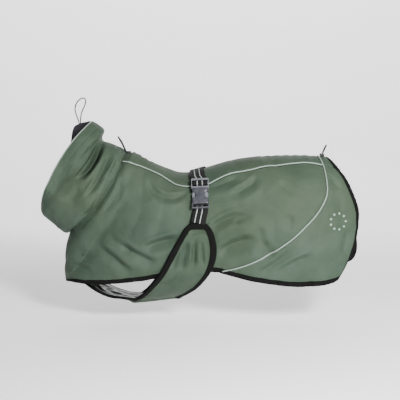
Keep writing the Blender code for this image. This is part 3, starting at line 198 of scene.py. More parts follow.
# lattice of a form: near-side ribs, each cut at equal shares of its own length. The ribs are
# first cut finely, then a search along all of them at once finds where each share lies
def buildForm(form, rows=340, cols=320, cuts=500):
    ribs = form["ribs"]
    stations = np.linspace(0, ribs["station"][-1], rows)
    s = np.linspace(0, 1, cuts)
    c = {name: curveThrough(stations, ribs["station"], ribs[name])[:, None] for name in ribs}
    depth = bezier(0, 0, c["sideDepth"], 1, s)
    half = bezier(0, c["topReach"], c["sideReach"], c["lowHalf"], s)
    runX, runZ = c["lowX"] - c["spineX"], c["lowZ"] - c["spineZ"]
    bow = c["bow"] * 4 * depth * (1 - depth) / np.hypot(runX, runZ)
    points = np.stack([c["spineX"] + depth * runX - bow * runZ, -half,
                       c["spineZ"] + depth * runZ + bow * runX], axis=-1)
    run = distances(points)
    total = run[:, -1]
    lines = 2 * np.arange(rows)[:, None]
    share = np.linspace(0, 1, cols)
    order = np.searchsorted((run / total[:, None] + lines).ravel(), (share + lines).ravel())
    k = np.clip(order.reshape(rows, cols) - lines // 2 * cuts - 1, 0, cuts - 2)
    i = np.arange(rows)[:, None]
    part = (share * total[:, None] - run[i, k]) / np.maximum(run[i, k + 1] - run[i, k], 1e-9)
    grid = points[i, k] + np.clip(part, 0, 1)[..., None] * (points[i, k + 1] - points[i, k])
    out = unit(np.cross(np.gradient(grid, axis=0), np.gradient(grid, axis=1)))
    middle = grid[:, cols // 2:cols // 2 + 1] * (1, 0, 1)
    out *= np.sign((out * (grid - middle)).sum(axis=-1, keepdims=True))
    form.update(lastStation=stations[-1], total=total, grid=grid, out=out)
    return form


# length of the rib at a station
def totalAt(form, station):
    at = np.linspace(0, form["lastStation"], len(form["total"]))
    return np.interp(station, at, form["total"])


# cubic blend of the four lattice values round a place, in each direction
def fromLattice(lattice, u, v):
    rows, cols = lattice.shape[:2]
    i, j = np.clip(u.astype(int), 0, rows - 2), np.clip(v.astype(int), 0, cols - 2)

    def weights(t):
        return (-0.5 * t + t * t - 0.5 * t ** 3, 1 - 2.5 * t * t + 1.5 * t ** 3,
                0.5 * t + 2 * t * t - 1.5 * t ** 3, -0.5 * t * t + 0.5 * t ** 3)

    made = 0
    for a, wa in enumerate(weights(u - i)):
        for b, wb in enumerate(weights(v - j)):
            knot = lattice[np.clip(i + a - 1, 0, rows - 1), np.clip(j + b - 1, 0, cols - 1)]
            made = made + (wa * wb)[..., None] * knot
    return made


# how deep the troughs are: a bell and a sharp crease across each one, less two low shoulders
# beside it; a trough is narrower on its upper side
def foldDepth(folds, x, z, shift=(0.0, 0.0)):
    depth, t = np.zeros_like(x), trough
    for fx, fz, tx, tz, sag, width, deep in zip(*folds.values()):
        run = math.hypot(tx - fx, tz - fz)
        ux, uz = (tx - fx) / run, (tz - fz) / run
        dx, dz = x - fx - shift[0], z - fz - shift[1]
        along = (dx * ux + dz * uz) / run
        off = (dx * uz - dz * ux - 4 * sag * along * (1 - along)) / width
        off = np.where(off * np.sign(ux) < 0, off / t["above"], off / t["below"])
        end = np.clip(np.minimum(along, 1 - along) * t["fade"] + t["atEnd"], 0, 1)
        beside = (np.abs(off) - t["shoulderAt"]) / t["shoulderReach"]
        shape = (t["bell"] * np.exp(-off ** 2)
                 + t["crease"] * np.exp(-np.sqrt(off ** 2 * t["sharp"] + t["blunt"]))
                 - t["shoulder"] * np.exp(-beside ** 2))
        depth += deep * shape * end * end * (3 - 2 * end)
    return depth


# how far places lie along a direction and across it
def turned(x, z, turn):
    return x * np.cos(turn) + z * np.sin(turn), z * np.cos(turn) - x * np.sin(turn)


# small irregular waves: sines in seeded directions, each bent by a longer one
def creases(x, z, seed, waves=14):
    dice = np.random.default_rng(seed)
    height = np.zeros_like(x)
    for _ in range(waves):
        turn, length = dice.uniform(0, np.pi), dice.uniform(16, 60)
        phase, bend = dice.uniform(0, 6.28, 2)
        way, side = turned(x, z, turn)
        wave = np.sin(2 * np.pi * way / length + phase + 1.6 * np.sin(side / length * 1.7 + bend))
        height += wave * (length / 45) ** 0.6
    return height / math.sqrt(waves)


# sharp little folds in patches: 1 - |sin| ridges, kept where a slow wave is high
def ridges(x, z, seed, waves=5):
    dice = np.random.default_rng(seed)
    height = np.zeros_like(x)
    for _ in range(waves):
        turn, length = dice.uniform(0, np.pi), dice.uniform(26, 48)
        phase, bend, patch = dice.uniform(0, 6.28, 3)
        way, side = turned(x, z, turn)
        bent = np.pi * way / length + phase + 0.9 * np.sin(side / 31 + bend)
        slow = np.sin(side / 38 + patch) + np.sin(way / 47 + 2 * patch)
        height += (1 - np.abs(np.sin(bent))) ** 2.2 * np.clip(slow, 0, 1)
    return height - 0.25


# crosswise waves along the spine that fade towards the spine seams
def gatherDepth(form, station, girth):
    seam = curveThrough(station, form["spineSeam"]["station"], form["spineSeam"]["girth"])
    fade = np.clip(1.15 - girth / seam, 0, 1)
    depth = np.zeros_like(station)
    for first, last, waves, deep in zip(*form["gathers"].values()):
        t = np.clip((station - first) / (last - first), 0, 1)
        ripple = 0.5 - 0.5 * np.cos(2 * np.pi * waves * t + 0.5 * np.sin(girth / 7))
        depth += deep * (ripple - 0.4) * fade
    return depth


# points on a form at (station, girth) and the ways out of it. Folds, waves and gathers press the
# points in, extra presses them further. The far side has its own, blended in from the middle
def place(form, station, girth, side, extra=0.0, plain=False):
    station, girth = np.broadcast_arrays(np.asarray(station, float), np.asarray(girth, float))
    rows, cols = form["grid"].shape[:2]
    inside = np.clip(station, 0, form["lastStation"])
    u = inside / form["lastStation"] * (rows - 1)
    v = np.clip(girth / np.maximum(totalAt(form, inside), 1), 0, 1) * (cols - 1)
    point = fromLattice(form["grid"], u, v)
    out = unit(fromLattice(form["out"], u, v))
    if not plain:
        x, z = point[..., 0], point[..., 2]
        calm = np.clip(girth / 20, 0.2, 1)         # few small waves along the spine

        def pressed(shift, creaseSeed, ridgeSeed):
            return (form["foldGain"] * foldDepth(form["folds"], x, z, shift)
                    + calm * (form["crease"] * creases(x, z, creaseSeed)
                              + form["ridge"] * ridges(x, z, ridgeSeed)))

        press = pressed((0.0, 0.0), 5, 4)
        if side > 0:
            own = np.clip(-point[..., 1] / 22, 0, 1) ** 2
            press = press * (1 - own) + pressed(form["farShift"], 9, 8) * own
        press = press + extra
        if "gathers" in form:
            press = press + gatherDepth(form, inside, girth)
        point = point - out * press[..., None]
    return point * (1, -side, 1), out * (1, -side, 1)


# quads between neighbours of a grid, and the grid place of each corner for its UV;
# closed joins the last column to the first, looped the last row to the first
def gridQuads(rows, cols, closed=False, looped=False):
    i, j = np.meshgrid(np.arange(rows if looped else rows - 1),
                       np.arange(cols if closed else cols - 1), indexing="ij")
    rowOf = np.stack([i, i, i + 1, i + 1], axis=-1).reshape(-1, 4)
    colOf = np.stack([j, j + 1, j + 1, j], axis=-1).reshape(-1, 4)
    return rowOf % rows * cols + colOf % cols, rowOf, colOf


# the quads of one small closed grid, for a number of them whose points follow one another
def manyQuads(rows, cols, count):
    quads, _, _ = gridQuads(rows, cols, True)
    return (quads[None] + (np.arange(count) * rows * cols)[:, None, None]).reshape(-1, 4)


# a (u, v) pair for each place of a grid: u runs along the columns, v down the rows
def uvSpread(u, v):
    return np.stack(np.broadcast_arrays(u[None, :], v[:, None]), axis=-1)


# an object in the scene that holds the data
def placed(name, data, location=(0, 0, 0), rotation=(0, 0, 0)):
    made = bpy.data.objects.new(name, data)
    bpy.context.scene.collection.objects.link(made)
    made.location, made.rotation_euler = location, rotation
    return made


# a piece from points in mm and quads; a closed piece with negative volume is turned round
def newMesh(name, points, quads, finish, uv=None):
    p = (points.reshape(-1, 3) + (0, 0, lift)) * mm
    a, b, c, d = (p[quads[:, k]] for k in range(4))
    volume = (np.cross(a, b) * c).sum() + (np.cross(a, c) * d).sum()
    if volume < 0:
        quads = quads[:, ::-1]
        uv = None if uv is None else uv[:, ::-1]
    mesh = bpy.data.meshes.new(name)
    mesh.vertices.add(len(p))
    mesh.vertices.foreach_set("co", p.ravel())
    mesh.loops.add(quads.size)
    mesh.loops.foreach_set("vertex_index", quads.ravel())
    mesh.polygons.add(len(quads))
    mesh.polygons.foreach_set("loop_start", np.arange(len(quads)) * 4)
    if uv is not None:
        mesh.uv_layers.new(name="cloth").data.foreach_set("uv", (uv * mm).ravel())
    mesh.update(calc_edges=True)
    mesh.validate()
    mesh.shade_smooth()
    mesh.materials.append(finish)
    return placed(name, mesh)


# cross products of a grid's two slopes, on the side of another direction
def normalsOf(grid, towards):
    out = unit(np.cross(np.gradient(grid, axis=0), np.gradient(grid, axis=1)))
    return out * np.sign((out * towards).sum(axis=-1, keepdims=True) + 1e-12)


# a wall between two grids: both faces and the rims; UV is (u, v) in mm on each face
def wall(name, outer, inner, finish, uvGrid, closed=False):
    rows, cols = outer.shape[:2]
    count = rows * cols
    quads, rowOf, colOf = gridQuads(rows, cols, closed)
    uv = uvGrid[rowOf, colOf]
    parts, uvs = [quads, quads[:, ::-1] + count], [uv, uv[:, ::-1]]

    def rim(edge, edgeUv):
        a, b = edge[:-1], edge[1:]
        parts.append(np.stack([a, a + count, b + count, b], axis=-1))
        ua, ub = edgeUv[:-1], edgeUv[1:]
        uvs.append(np.stack([ua, ua + 0.5, ub + 0.5, ub], axis=1))

    index = np.arange(count).reshape(rows, cols)
    if closed:
        index = np.concatenate([index, index[:, :1]], axis=1)
    rim(index[0], uvGrid[0, :index.shape[1]])
    rim(index[-1, ::-1], uvGrid[-1, :index.shape[1]][::-1])
    if not closed:
        rim(index[::-1, 0], uvGrid[::-1, 0])
        rim(index[:, -1], uvGrid[:, -1])
    points = np.concatenate([outer.reshape(-1, 3), inner.reshape(-1, 3)])
    return newMesh(name, points, np.concatenate(parts), finish, np.concatenate(uvs))


# a profile of (across, up) carried along a path; open ends are drawn in to a point
def sweep(name, centres, across, up, profile, finish, looped=False):
    profile = np.array(profile, float)
    ringRun = distances(np.concatenate([profile, profile[:1]]))
    profile = np.repeat(profile[None], len(centres), axis=0)
    if not looped:
        ends = np.array([0.0, 0.75])[:, None, None]
        profile = np.concatenate([profile[:1] * ends, profile, profile[:1] * ends[::-1]])
        centres, across, up = [np.concatenate([v[:1], v[:1], v, v[-1:], v[-1:]])
                               for v in (centres, across, up)]
    loops = (centres[:, None] + across[:, None] * profile[..., :1]
             + up[:, None] * profile[..., 1:])
    run = distances(centres)
    if looped:
        run = np.append(run, run[-1] + np.linalg.norm(centres[0] - centres[-1]))
    quads, rowOf, colOf = gridQuads(*loops.shape[:2], True, looped)
    uv = np.stack([run[rowOf], ringRun[colOf]], axis=-1)
    return newMesh(name, loops, quads, finish, uv)


# cosine and sine of even turns, each half a step in
def circle(count):
    turn = 2 * np.pi * (np.arange(count) + 0.5) / count
    return np.cos(turn), np.sin(turn)


# a square with round corners: |x|^p + |y|^p = 1
def roundedSquare(count, power):
    c, s = circle(count)
    size = (np.abs(c) ** power + np.abs(s) ** power) ** (-1 / power)
    return c * size, s * size


# a round thread or cord: the circle scaled to its radius
def roundProfile(radius, count=12):
    return np.stack(circle(count), axis=-1) * radius


# a flat band with rounded edges: the round-cornered square scaled to width and thickness
def bandProfile(width, thickness):
    return np.stack(roundedSquare(20, 6), axis=-1) * (width / 2, thickness / 2)


# every piece rides on the one body; the nodes are the solids that it takes the place of
def finished(piece, slotName, *nodes):
    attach(piece, "root")
    if nodes:
        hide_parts(*nodes)
    return piece


# a new finish: its shader, and a maker of nodes whose inputs may be values or other outputs
def newFinish(name, colour, roughness, **sockets):
    finish = bpy.data.materials.new(name)
    finish.use_nodes = True
    tree = finish.node_tree
    shader = tree.nodes["Principled BSDF"]
    shader.inputs["Base Color"].default_value = (*colour, 1)
    shader.inputs["Roughness"].default_value = roughness
    for socket, value in sockets.items():
        shader.inputs[socket.replace("_", " ")].default_value = value

    def node(kind, settings=(), **inputs):
        made = tree.nodes.new("ShaderNode" + kind)
        for key, value in dict(settings).items():
            setattr(made, key, value)
        for key, value in inputs.items():
            socket = made.inputs[int(key[1:])] if key[0] == "i" and key[1:].isdigit() \
                else made.inputs[key.replace("_", " ")]
            if isinstance(value, bpy.types.NodeSocket):
                tree.links.new(value, socket)
            else:
                socket.default_value = value
        return made

    def use(output, socket):
        tree.links.new(output, shader.inputs[socket])

    return finish, node, use


# one arithmetic step on a shader value
def mathNode(node, operation, a, b=0.0):
    return node("Math", {"operation": operation}, i0=a, i1=b).outputs[0]


# two crossed waves: threads at a step in mm along the piece's own UV
def weaveHeight(node, step, turn=0.0, steepness=1.0):
    lay = node("Mapping", Vector=node("TexCoord").outputs["UV"], Rotation=(0, 0, turn)).outputs[0]
    scale = math.pi / 10 / (step * mm)
    threads = [node("TexWave", {"bands_direction": way}, Vector=lay, Scale=scale * k,
                    Distortion=0.4).outputs["Fac"] for way, k in (("X", 1.0), ("Y", steepness))]
    return mathNode(node, "MULTIPLY", *threads)


# soft noise with blots of a size in mm, on the object's own coordinates
def noiseHeight(node, size, detail=3.0, roughness=0.5, seed=0.0):
    return node("TexNoise", {"noise_dimensions": "4D"}, Vector=node("TexCoord").outputs["Object"],
                W=seed, Scale=1 / (size * mm), Detail=detail, Roughness=roughness).outputs["Fac"]


# a colour that goes from dark to light while a height goes from low to high
def shaded(node, use, dark, light, height, low=0.3, high=0.7, socket="Base Color"):
    ramp = node("MapRange", {"clamp": True}, Value=height, From_Min=low, From_Max=high).outputs[0]
    mix = node("Mix", {"data_type": "RGBA"}, Factor=ramp)
    mix.inputs[6].default_value, mix.inputs[7].default_value = (*dark, 1), (*light, 1)
    use(mix.outputs[2], socket)
    return mix.outputs[2]


# bump layers one on the other, each a height and its depth in mm
def bumps(node, use, *layers):
    last = None
    for height, distance in layers:
        made = node("Bump", Height=height, Distance=distance * mm, Strength=0.6)
        if last is not None:
            made.id_data.links.new(last, made.inputs["Normal"])
        last = made.outputs[0]
    use(last, "Normal")


# two weighted heights added
def blended(node, first, share, second, rest):
    return mathNode(node, "ADD", mathNode(node, "MULTIPLY", first, share),
                    mathNode(node, "MULTIPLY", second, rest))


# satin nylon: blotches and thread flecks from dark to light green, a warmer tint in patches
def shellFinish():
    look = {"dark": (0.030, 0.049, 0.033), "light": (0.062, 0.090, 0.065), "thread": 0.55,
            "tint": (1.05, 0.99, 0.92)}
    finish, node, use = newFinish("shellCloth", look["light"], 0.6, Specular_IOR_Level=0.12)
    fleck = weaveHeight(node, look["thread"])
    tone = blended(node, noiseHeight(node, 60, 4, 0.55), 0.75, fleck, 0.28)
    ground = shaded(node, use, look["dark"], look["light"], tone, 0.22, 0.72)
    tint = node("Mix", {"data_type": "RGBA", "blend_type": "MULTIPLY"},
                i0=node("MapRange", Value=noiseHeight(node, 95, 2, 0.5, 5.0), From_Min=0.4,
                        From_Max=0.65).outputs[0], i6=ground)
    tint.inputs[7].default_value = (*look["tint"], 1)
    use(tint.outputs[2], "Base Color")
    gloss = node("MapRange", Value=noiseHeight(node, 18, 3, 0.6, 3.0), To_Min=0.52, To_Max=0.72)
    use(gloss.outputs[0], "Roughness")
    bumps(node, use, (noiseHeight(node, 14, 4, 0.55, 7.0), 1.6), (fleck, 0.10))
    return finish


# reflective film: glass beads as fine round cells
def pipingFinish():
    look = {"dark": (0.20, 0.26, 0.22), "light": (0.34, 0.41, 0.36)}
    finish, node, use = newFinish("reflectivePiping", look["light"], 0.42, Sheen_Weight=0.35,
                                  Metallic=0.1)
    beads = node("TexVoronoi", Vector=node("TexCoord").outputs["Object"], Scale=1800.0)
    shaded(node, use, look["light"], look["dark"], beads.outputs["Distance"], 0.15, 0.6)
    bumps(node, use, (weaveHeight(node, 0.9), 0.12))
    return finish


# black woven tape with fine ribs
def tapeFinish():
    look = {"dark": (0.0018, 0.0018, 0.0017), "light": (0.0052, 0.005, 0.0046)}
    finish, node, use = newFinish("edgeTape", look["light"], 0.85, Specular_IOR_Level=0.12)
    ribs = weaveHeight(node, 0.8, 0.0, 0.6)
    tone = blended(node, ribs, 0.5, noiseHeight(node, 12, 3), 0.5)
    shaded(node, use, look["dark"], look["light"], tone, 0.2, 0.6)
    bumps(node, use, (ribs, 0.22), (noiseHeight(node, 9, 2, 0.5, 2.0), 0.5))
    return finish


# green polyester thread
def threadFinish():
    finish, node, use = newFinish("sewingThread", (0.06, 0.08, 0.06), 0.6)
    shaded(node, use, (0.040, 0.060, 0.042), (0.085, 0.115, 0.085), noiseHeight(node, 0.6, 2))
    return finish


# dark knit whose ribs run up and down
def ribLiningFinish():
    look = {"dark": (0.018, 0.018, 0.022), "light": (0.046, 0.044, 0.052), "rib": 2.0}
    finish, node, use = newFinish("ribbedLining", look["light"], 0.85, Sheen_Weight=0.06,
                                  Specular_IOR_Level=0.25)
    ribs = node("TexWave", {"bands_direction": "X"}, Vector=node("TexCoord").outputs["UV"],
                Distortion=0.3, Scale=math.pi / 10 / (look["rib"] * mm)).outputs["Fac"]
    shaded(node, use, look["dark"], look["light"], ribs, 0.1, 0.9)
    bumps(node, use, (ribs, 0.5), (weaveHeight(node, 0.7), 0.15))
    return finish


# crushed silver cloth: one noise gives its creases, and the colour follows the same noise from dark
# in the hollows to light on the ridges, painted shade and painted highlights
def silverLiningFinish():
    look = {"dark": (0.035, 0.036, 0.038), "light": (0.24, 0.245, 0.25)}
    finish, node, use = newFinish("silverLining", look["light"], 0.4, Metallic=0.2,
                                  Specular_IOR_Level=0.6)
    crush = noiseHeight(node, 9, 5, 0.6, 1.0)
    # painted shade in the crease hollows and painted highlights on the crease ridges, from the bump's
    # own noise
    shaded(node, use, look["dark"], look["light"], crush, 0.34, 0.66)
    bumps(node, use, (crush, 2.6), (weaveHeight(node, 0.4), 0.06))
    return finish


# black webbing with two pale lines on each face, at mm round its edge (the second UV value)
def webbingFinish():
    look = {"dark": (0.003, 0.003, 0.0033), "light": (0.008, 0.008, 0.0085),
            "line": (0.36, 0.38, 0.38), "lines": (9.3, 17.3, 32.8, 40.8), "lineWidth": 1.15}
    finish, node, use = newFinish("webbing", look["light"], 0.75, Specular_IOR_Level=0.2)
    weave = weaveHeight(node, 1.3, 0.0, 0.62)
    ground = shaded(node, use, look["dark"], look["light"], weave, 0.1, 0.8)
    across = node("SeparateXYZ", Vector=node("TexCoord").outputs["UV"]).outputs["Y"]
    inLine = 0.0
    for line in look["lines"]:
        away = mathNode(node, "ABSOLUTE", mathNode(node, "SUBTRACT", across, line * mm))
        near = mathNode(node, "LESS_THAN", away, look["lineWidth"] / 2 * mm)
        inLine = mathNode(node, "ADD", near, inLine)
    mix = node("Mix", {"data_type": "RGBA"}, Factor=inLine)
    mix.inputs[7].default_value = (*look["line"], 1)
    mix.id_data.links.new(ground, mix.inputs[6])
    use(mix.outputs[2], "Base Color")
    bumps(node, use, (weave, 0.5))
    return finish


# moulded nylon: its colour goes from dark to light in 7 mm blotches, tone that differs at random and
# also stands in for highlights, painted highlights; the roughness varies in worn patches
def plasticFinish(name, dark, light):
    finish, node, use = newFinish(name, light, 0.4, Specular_IOR_Level=0.55, Coat_Weight=0.08)
    # the lighter blotches stand in for highlights: painted highlights
    shaded(node, use, dark, light, noiseHeight(node, 7, 4, 0.6))
    wear = node("MapRange", Value=noiseHeight(node, 1.4, 3, 0.6, 2.0), To_Min=0.26, To_Max=0.42)
    use(wear.outputs[0], "Roughness")
    bumps(node, use, (noiseHeight(node, 0.35, 2, 0.6, 4.0), 0.05))
    return finish


# braided elastic cord: the weave turned by 45 degrees
def cordFinish():
    finish, node, use = newFinish("elasticCord", (0.06, 0.055, 0.06), 0.75, Specular_IOR_Level=0.3)
    braid = weaveHeight(node, 0.7, math.radians(45))
    shaded(node, use, (0.018, 0.019, 0.019), (0.036, 0.037, 0.037), braid, 0.1, 0.7)
    bumps(node, use, (braid, 0.18))
    return finish


shell, piping, tape, thread = shellFinish(), pipingFinish(), tapeFinish(), threadFinish()
ribLining, silverLining = ribLiningFinish(), silverLiningFinish()
webbing, cordBraid = webbingFinish(), cordFinish()
plastic = plasticFinish("buckleNylon", (0.024, 0.026, 0.031), (0.062, 0.066, 0.076))
prongPlastic = plasticFinish("ladderNylon", (0.09, 0.095, 0.105), (0.16, 0.165, 0.18))
barrel = plasticFinish("lockPlastic", (0.015, 0.015, 0.016), (0.035, 0.034, 0.036))
print("finishes ready")


# seen 2 degrees round and 8 degrees up, aimed so that 1 px of the 400 px frame is 1.65 mm
def cameraAndLight():
    view = {"azimuth": 2.0, "elevation": 8.0, "distance": 1.5, "mmPerPixel": 1.65,
            "target": (3.3, 0.0, -47.3), "pixels": 400}
    a, e = math.radians(view["azimuth"]), math.radians(view["elevation"])
    back = np.array([math.sin(a) * math.cos(e), -math.cos(a) * math.cos(e), math.sin(e)])
    camera = bpy.data.cameras.new("camera")
    camera.sensor_width = 36
    camera.lens = 36 * view["distance"] / (view["pixels"] * view["mmPerPixel"] * mm)
    bpy.context.scene.camera = placed(
        "camera", camera, np.array(view["target"]) * mm + back * view["distance"],
        (math.pi / 2 - e, 0, a))

    lamps = columnsOf("x y z size watts", [
        (0.42, -1.0, 0.40, 0.22, 30), (0.1, -1.7, 0.2, 0.6, 0.5), (0.1, 0.2, 1.4, 0.6, 1),
        (0.3, 1.2, 0.5, 0.8, 2),
    ])
    for n, (x, y, z, size, watts) in enumerate(zip(*lamps.values())):
        lamp = bpy.data.lights.new(f"softbox{n}", "AREA")
        lamp.shape, lamp.size, lamp.energy = "SQUARE", size, watts
        aim = -np.array([x, y, z + 0.05])
        placed(f"softbox{n}", lamp, (x, y, z),
               (math.atan2(math.hypot(aim[0], aim[1]), -aim[2]), 0,
                math.atan2(aim[1], aim[0]) - math.pi / 2))
    lamp = bpy.data.lights.new("wallWash", "AREA")      # lights the paper behind the coat
    lamp.shape, lamp.size, lamp.size_y, lamp.energy = "RECTANGLE", 3.0, 0.5, 45
    placed("wallWash", lamp, (0, 0.8, 1.2), (math.radians(70), 0, 0))

    world = bpy.data.worlds.new("studio")
    world.use_nodes = True
    inputs = world.node_tree.nodes["Background"].inputs
    inputs["Color"].default_value, inputs["Strength"].default_value = (1, 1, 1, 1), 0.06
    bpy.context.scene.world = world

    # a floor that curves up into a wall: a quarter circle between the two flats
    paper, node, use = newFinish("studioPaper", (0.95, 0.95, 0.95), 0.9, Emission_Strength=0.5,
                                 Emission_Color=(1, 1, 1, 1))
    shaded(node, use, (0.91, 0.91, 0.91), (0.94, 0.94, 0.94), noiseHeight(node, 300, 2))
    low, radius, reach = -250.0, 900.0, 3000.0
    turn = np.linspace(0, math.pi / 2, 24)
    y = np.concatenate([[-reach], radius * np.sin(turn) + 900, [900 + radius]])
    z = np.concatenate([[low], low + radius * (1 - np.cos(turn)), [reach]])
    x = np.linspace(-reach, reach, 9)
    grid = np.stack(np.broadcast_arrays(x[None, :], y[:, None], z[:, None]), axis=-1)
    quads, _, _ = gridQuads(*grid.shape[:2])
    newMesh("studioFloor", grid, quads[:, ::-1], paper)


cameraAndLight()
print("camera and light ready")


# each is a loop of elastic drawcord that leaves the coat and goes back in
def drawcord(name, node, diameter, route):
    points = evenly(route, 1.8)
    curve = bpy.data.curves.new(name, "CURVE")
    curve.dimensions = "3D"
    curve.bevel_depth = diameter / 2 * mm
    curve.bevel_resolution = 3
    curve.use_fill_caps = True
    spline = curve.splines.new("POLY")
    spline.points.add(len(points) - 1)
    knots = np.concatenate([(points + (0, 0, lift)) * mm, np.ones((len(points), 1))], axis=1)
    spline.points.foreach_set("co", knots.ravel())
    curve.materials.append(cordBraid)
    made = finished(placed(name, curve), "cord", node)


# node, diameter in mm and the points that the loop runs through
cords = {
    "collarLoop": ("collar_cord", 2.0, [
        (-200.3, 33.8, 73.8), (-201.2, 33.8, 79.0), (-204.3, 34.0, 87.8), (-206.9, 35.2, 96.2),
        (-207.0, 36.2, 102.8), (-205.0, 37.0, 108.8), (-201.2, 37.6, 113.8), (-196.6, 38.0, 117.0),
        (-192.3, 38.0, 117.5), (-189.7, 37.6, 114.9), (-189.5, 37.0, 110.7), (-190.9, 36.2, 105.7),
        (-193.6, 35.2, 99.8), (-196.1, 34.2, 93.2), (-197.6, 33.4, 86.0), (-197.9, 33.0, 80.2),
        (-198.1, 32.5, 75.0)]),
    "neckLoop": ("neck_cord", 2.6, [
        (-118.2, -1.8, 30.2), (-119.9, -2.4, 34.8), (-122.2, -3.1, 40.0), (-124.0, -3.7, 44.0),
        (-126.2, -4.0, 48.3), (-128.7, -3.6, 52.4), (-130.5, -1.9, 55.0), (-130.9, 0.4, 55.6),
        (-130.2, 2.5, 54.3), (-128.4, 3.9, 51.4), (-126.0, 4.0, 47.6), (-124.0, 3.6, 43.6),
        (-122.2, 3.0, 39.8), (-119.9, 2.3, 34.8), (-118.2, 1.8, 30.2)]),
    "rumpLoop": ("rump_cord", 2.3, [
        (203.5, -1.8, 29.3), (204.4, -2.6, 32.7), (205.5, -3.5, 35.5), (206.7, -3.9, 38.3),
        (207.9, -3.3, 40.9), (208.8, -1.6, 42.7), (209.1, 0.3, 43.1), (208.7, 2.1, 42.1),
        (207.6, 3.6, 39.7), (206.3, 3.9, 37.1), (205.2, 3.3, 34.7), (204.2, 2.5, 32.2),
        (203.5, 1.8, 29.3)]),
}
for loopName, loop in cords.items():
    drawcord(loopName, *loop)


# a small cord lock: a barrel whose radius is (1 - 0.62 |t|^3)^0.5 along its length, with a waist
def cordLock(name, node, middle, tilt):
    size = {"length": 8.6, "height": 4.6, "width": 7.0}
    t = np.linspace(-1, 1, 41)
    c, s = circle(28)
    ring = np.sqrt(np.clip(1 - np.abs(t) ** 3 * 0.62, 0, 1)) * (1 - 0.07 * np.exp(-(t / 0.2) ** 2))
    ring[[0, -1]] = 0
    t[[0, -1]] = t[[1, -2]]
    along = t[:, None] * size["length"] / 2 + 0 * c
    up = size["height"] / 2 * ring[:, None] * s
    side = size["width"] / 2 * ring[:, None] * c
    grid = np.stack([middle[0] + along * math.cos(tilt) - up * math.sin(tilt), middle[1] + side,
                     middle[2] + along * math.sin(tilt) + up * math.cos(tilt)], axis=-1)
    finished(newMesh(name, grid, manyQuads(*grid.shape[:2], 1), barrel), "lock", node)


cordLock("neckLock", "neck_cord_lock", (-113.9, 0.0, 30.6), math.radians(-4))
cordLock("rumpLock", "rump_cord_lock", (202.2, 0.0, 27.1), math.radians(-14))
print("cords ready")


buildForm(trunk)
buildForm(collar)
print("ribs ready")
rearEdge = trunk["lastStation"]


# how far down the spine seam lies at a station
def seamGirth(station):
    return curveThrough(station, trunk["spineSeam"]["station"], trunk["spineSeam"]["girth"])


# the station of the rump seam at a share of the rib
def rumpStation(share):
    return curveThrough(share, trunk["rumpSeam"]["share"], trunk["rumpSeam"]["station"])


# where rows of a side panel meet the rump seam: f is 0 at the spine seam, 1 at the hem. Half
# steps towards the seam's station at that share until it stands still
def rumpMeeting(f):
    station = np.full(f.shape, 300.0)
    for _ in range(40):
        total = totalAt(trunk, station)
        girth = seamGirth(station) + f * (total - seamGirth(station))
        station = 0.5 * station + 0.5 * rumpStation(girth / total)
    return station, girth, total


# a seam draws the cloth in: a narrow groove as deep as groove and as wide as reach, and puckers
# along it that fade over some mm
def seamPress(away, along, groove=0.9, reach=2.3, pucker=0.32, fade=9.0):
    ripple = np.sin(along / 7.5 * 2 * np.pi + 2.0 * np.sin(along / 23.0))
    return (groove * np.exp(-(away / reach) ** 2)
            + pucker * (0.5 + 0.5 * ripple) * np.exp(-(away / fade) ** 2))


# 1 on the flank, falling to a third at the spine and at the low end of a rib
def endFade(girth, total):
    return np.clip(np.minimum(girth, total - girth) / 28, 0.3, 1)


# all seams of the trunk at a place, and the pull of the hem's tape
def trunkSeams(station, girth):
    total = totalAt(trunk, np.clip(station, 0, rearEdge))
    share = np.clip(girth / total, 0, 1)
    return (seamPress(girth - seamGirth(station), station)
            + seamPress((station - rumpStation(share)) * 0.9, girth)
            + seamPress(station, girth, groove=1.6, reach=4.0, pucker=0.9) * endFade(girth, total)
            + seamPress(total - girth, station, groove=0.0, pucker=0.55, fade=14.0)
            + seamPress(rearEdge - station, girth, groove=0.0, pucker=0.4))


# the coat's outer face, seams and all
def onCoat(station, girth, side):
    return place(trunk, station, girth, side, trunkSeams(station, girth))


# a sheet's flat size: the lengths of its longest row and column, worked out and not kept
def declareSheet(grid, closed=False):
    if closed:
        grid = np.concatenate([grid, grid[:, :1]], axis=1)
    runs = [distances(grid)[:, -1].max(), distances(grid.transpose(1, 0, 2))[:, -1].max()]


# a piece of cloth between two grids; its flat size as a sheet is worked out
def clothPiece(name, node, outer, inner, uv, finish=shell, slotName="shell", closed=False):
    made = finished(wall(name, outer, inner, finish, uv, closed), slotName, node)
    declareSheet(outer, closed)


# cloth panel from a grid of (station, girth); UV is the same two lengths
def panel(name, node, station, girth, side, tuck=0.0):
    outer, out = onCoat(station, girth, side)
    if tuck:                       # the edge runs on under the collar
        ahead = (place(trunk, station * 0 + 2, girth, side, plain=True)[0]
                 - place(trunk, station * 0, girth, side, plain=True)[0])
        under = np.clip(-station, 0, None)[..., None]
        outer = outer - unit(ahead) * under - out * under * 0.25
    # the two sides overlap a little where they meet at the chest
    meet = {"within": 0.03, "past": -0.15}
    outer[..., 1] = np.where(outer[..., 1] * side < meet["within"], side * meet["past"],
                             outer[..., 1])
    inner = outer - normalsOf(outer, out) * cloth["shell"]
    inner[..., 1] = np.where(inner[..., 1] * side < meet["within"], side * meet["past"],
                             inner[..., 1])
    clothPiece(name, node, outer, inner, np.stack([station, girth], axis=-1))


# a near and a far grid joined along an axis over the row or column that they share
def acrossMiddle(near, far, axis=0):
    return np.concatenate([np.flip(near, axis), np.delete(far, 0, axis)], axis=axis)


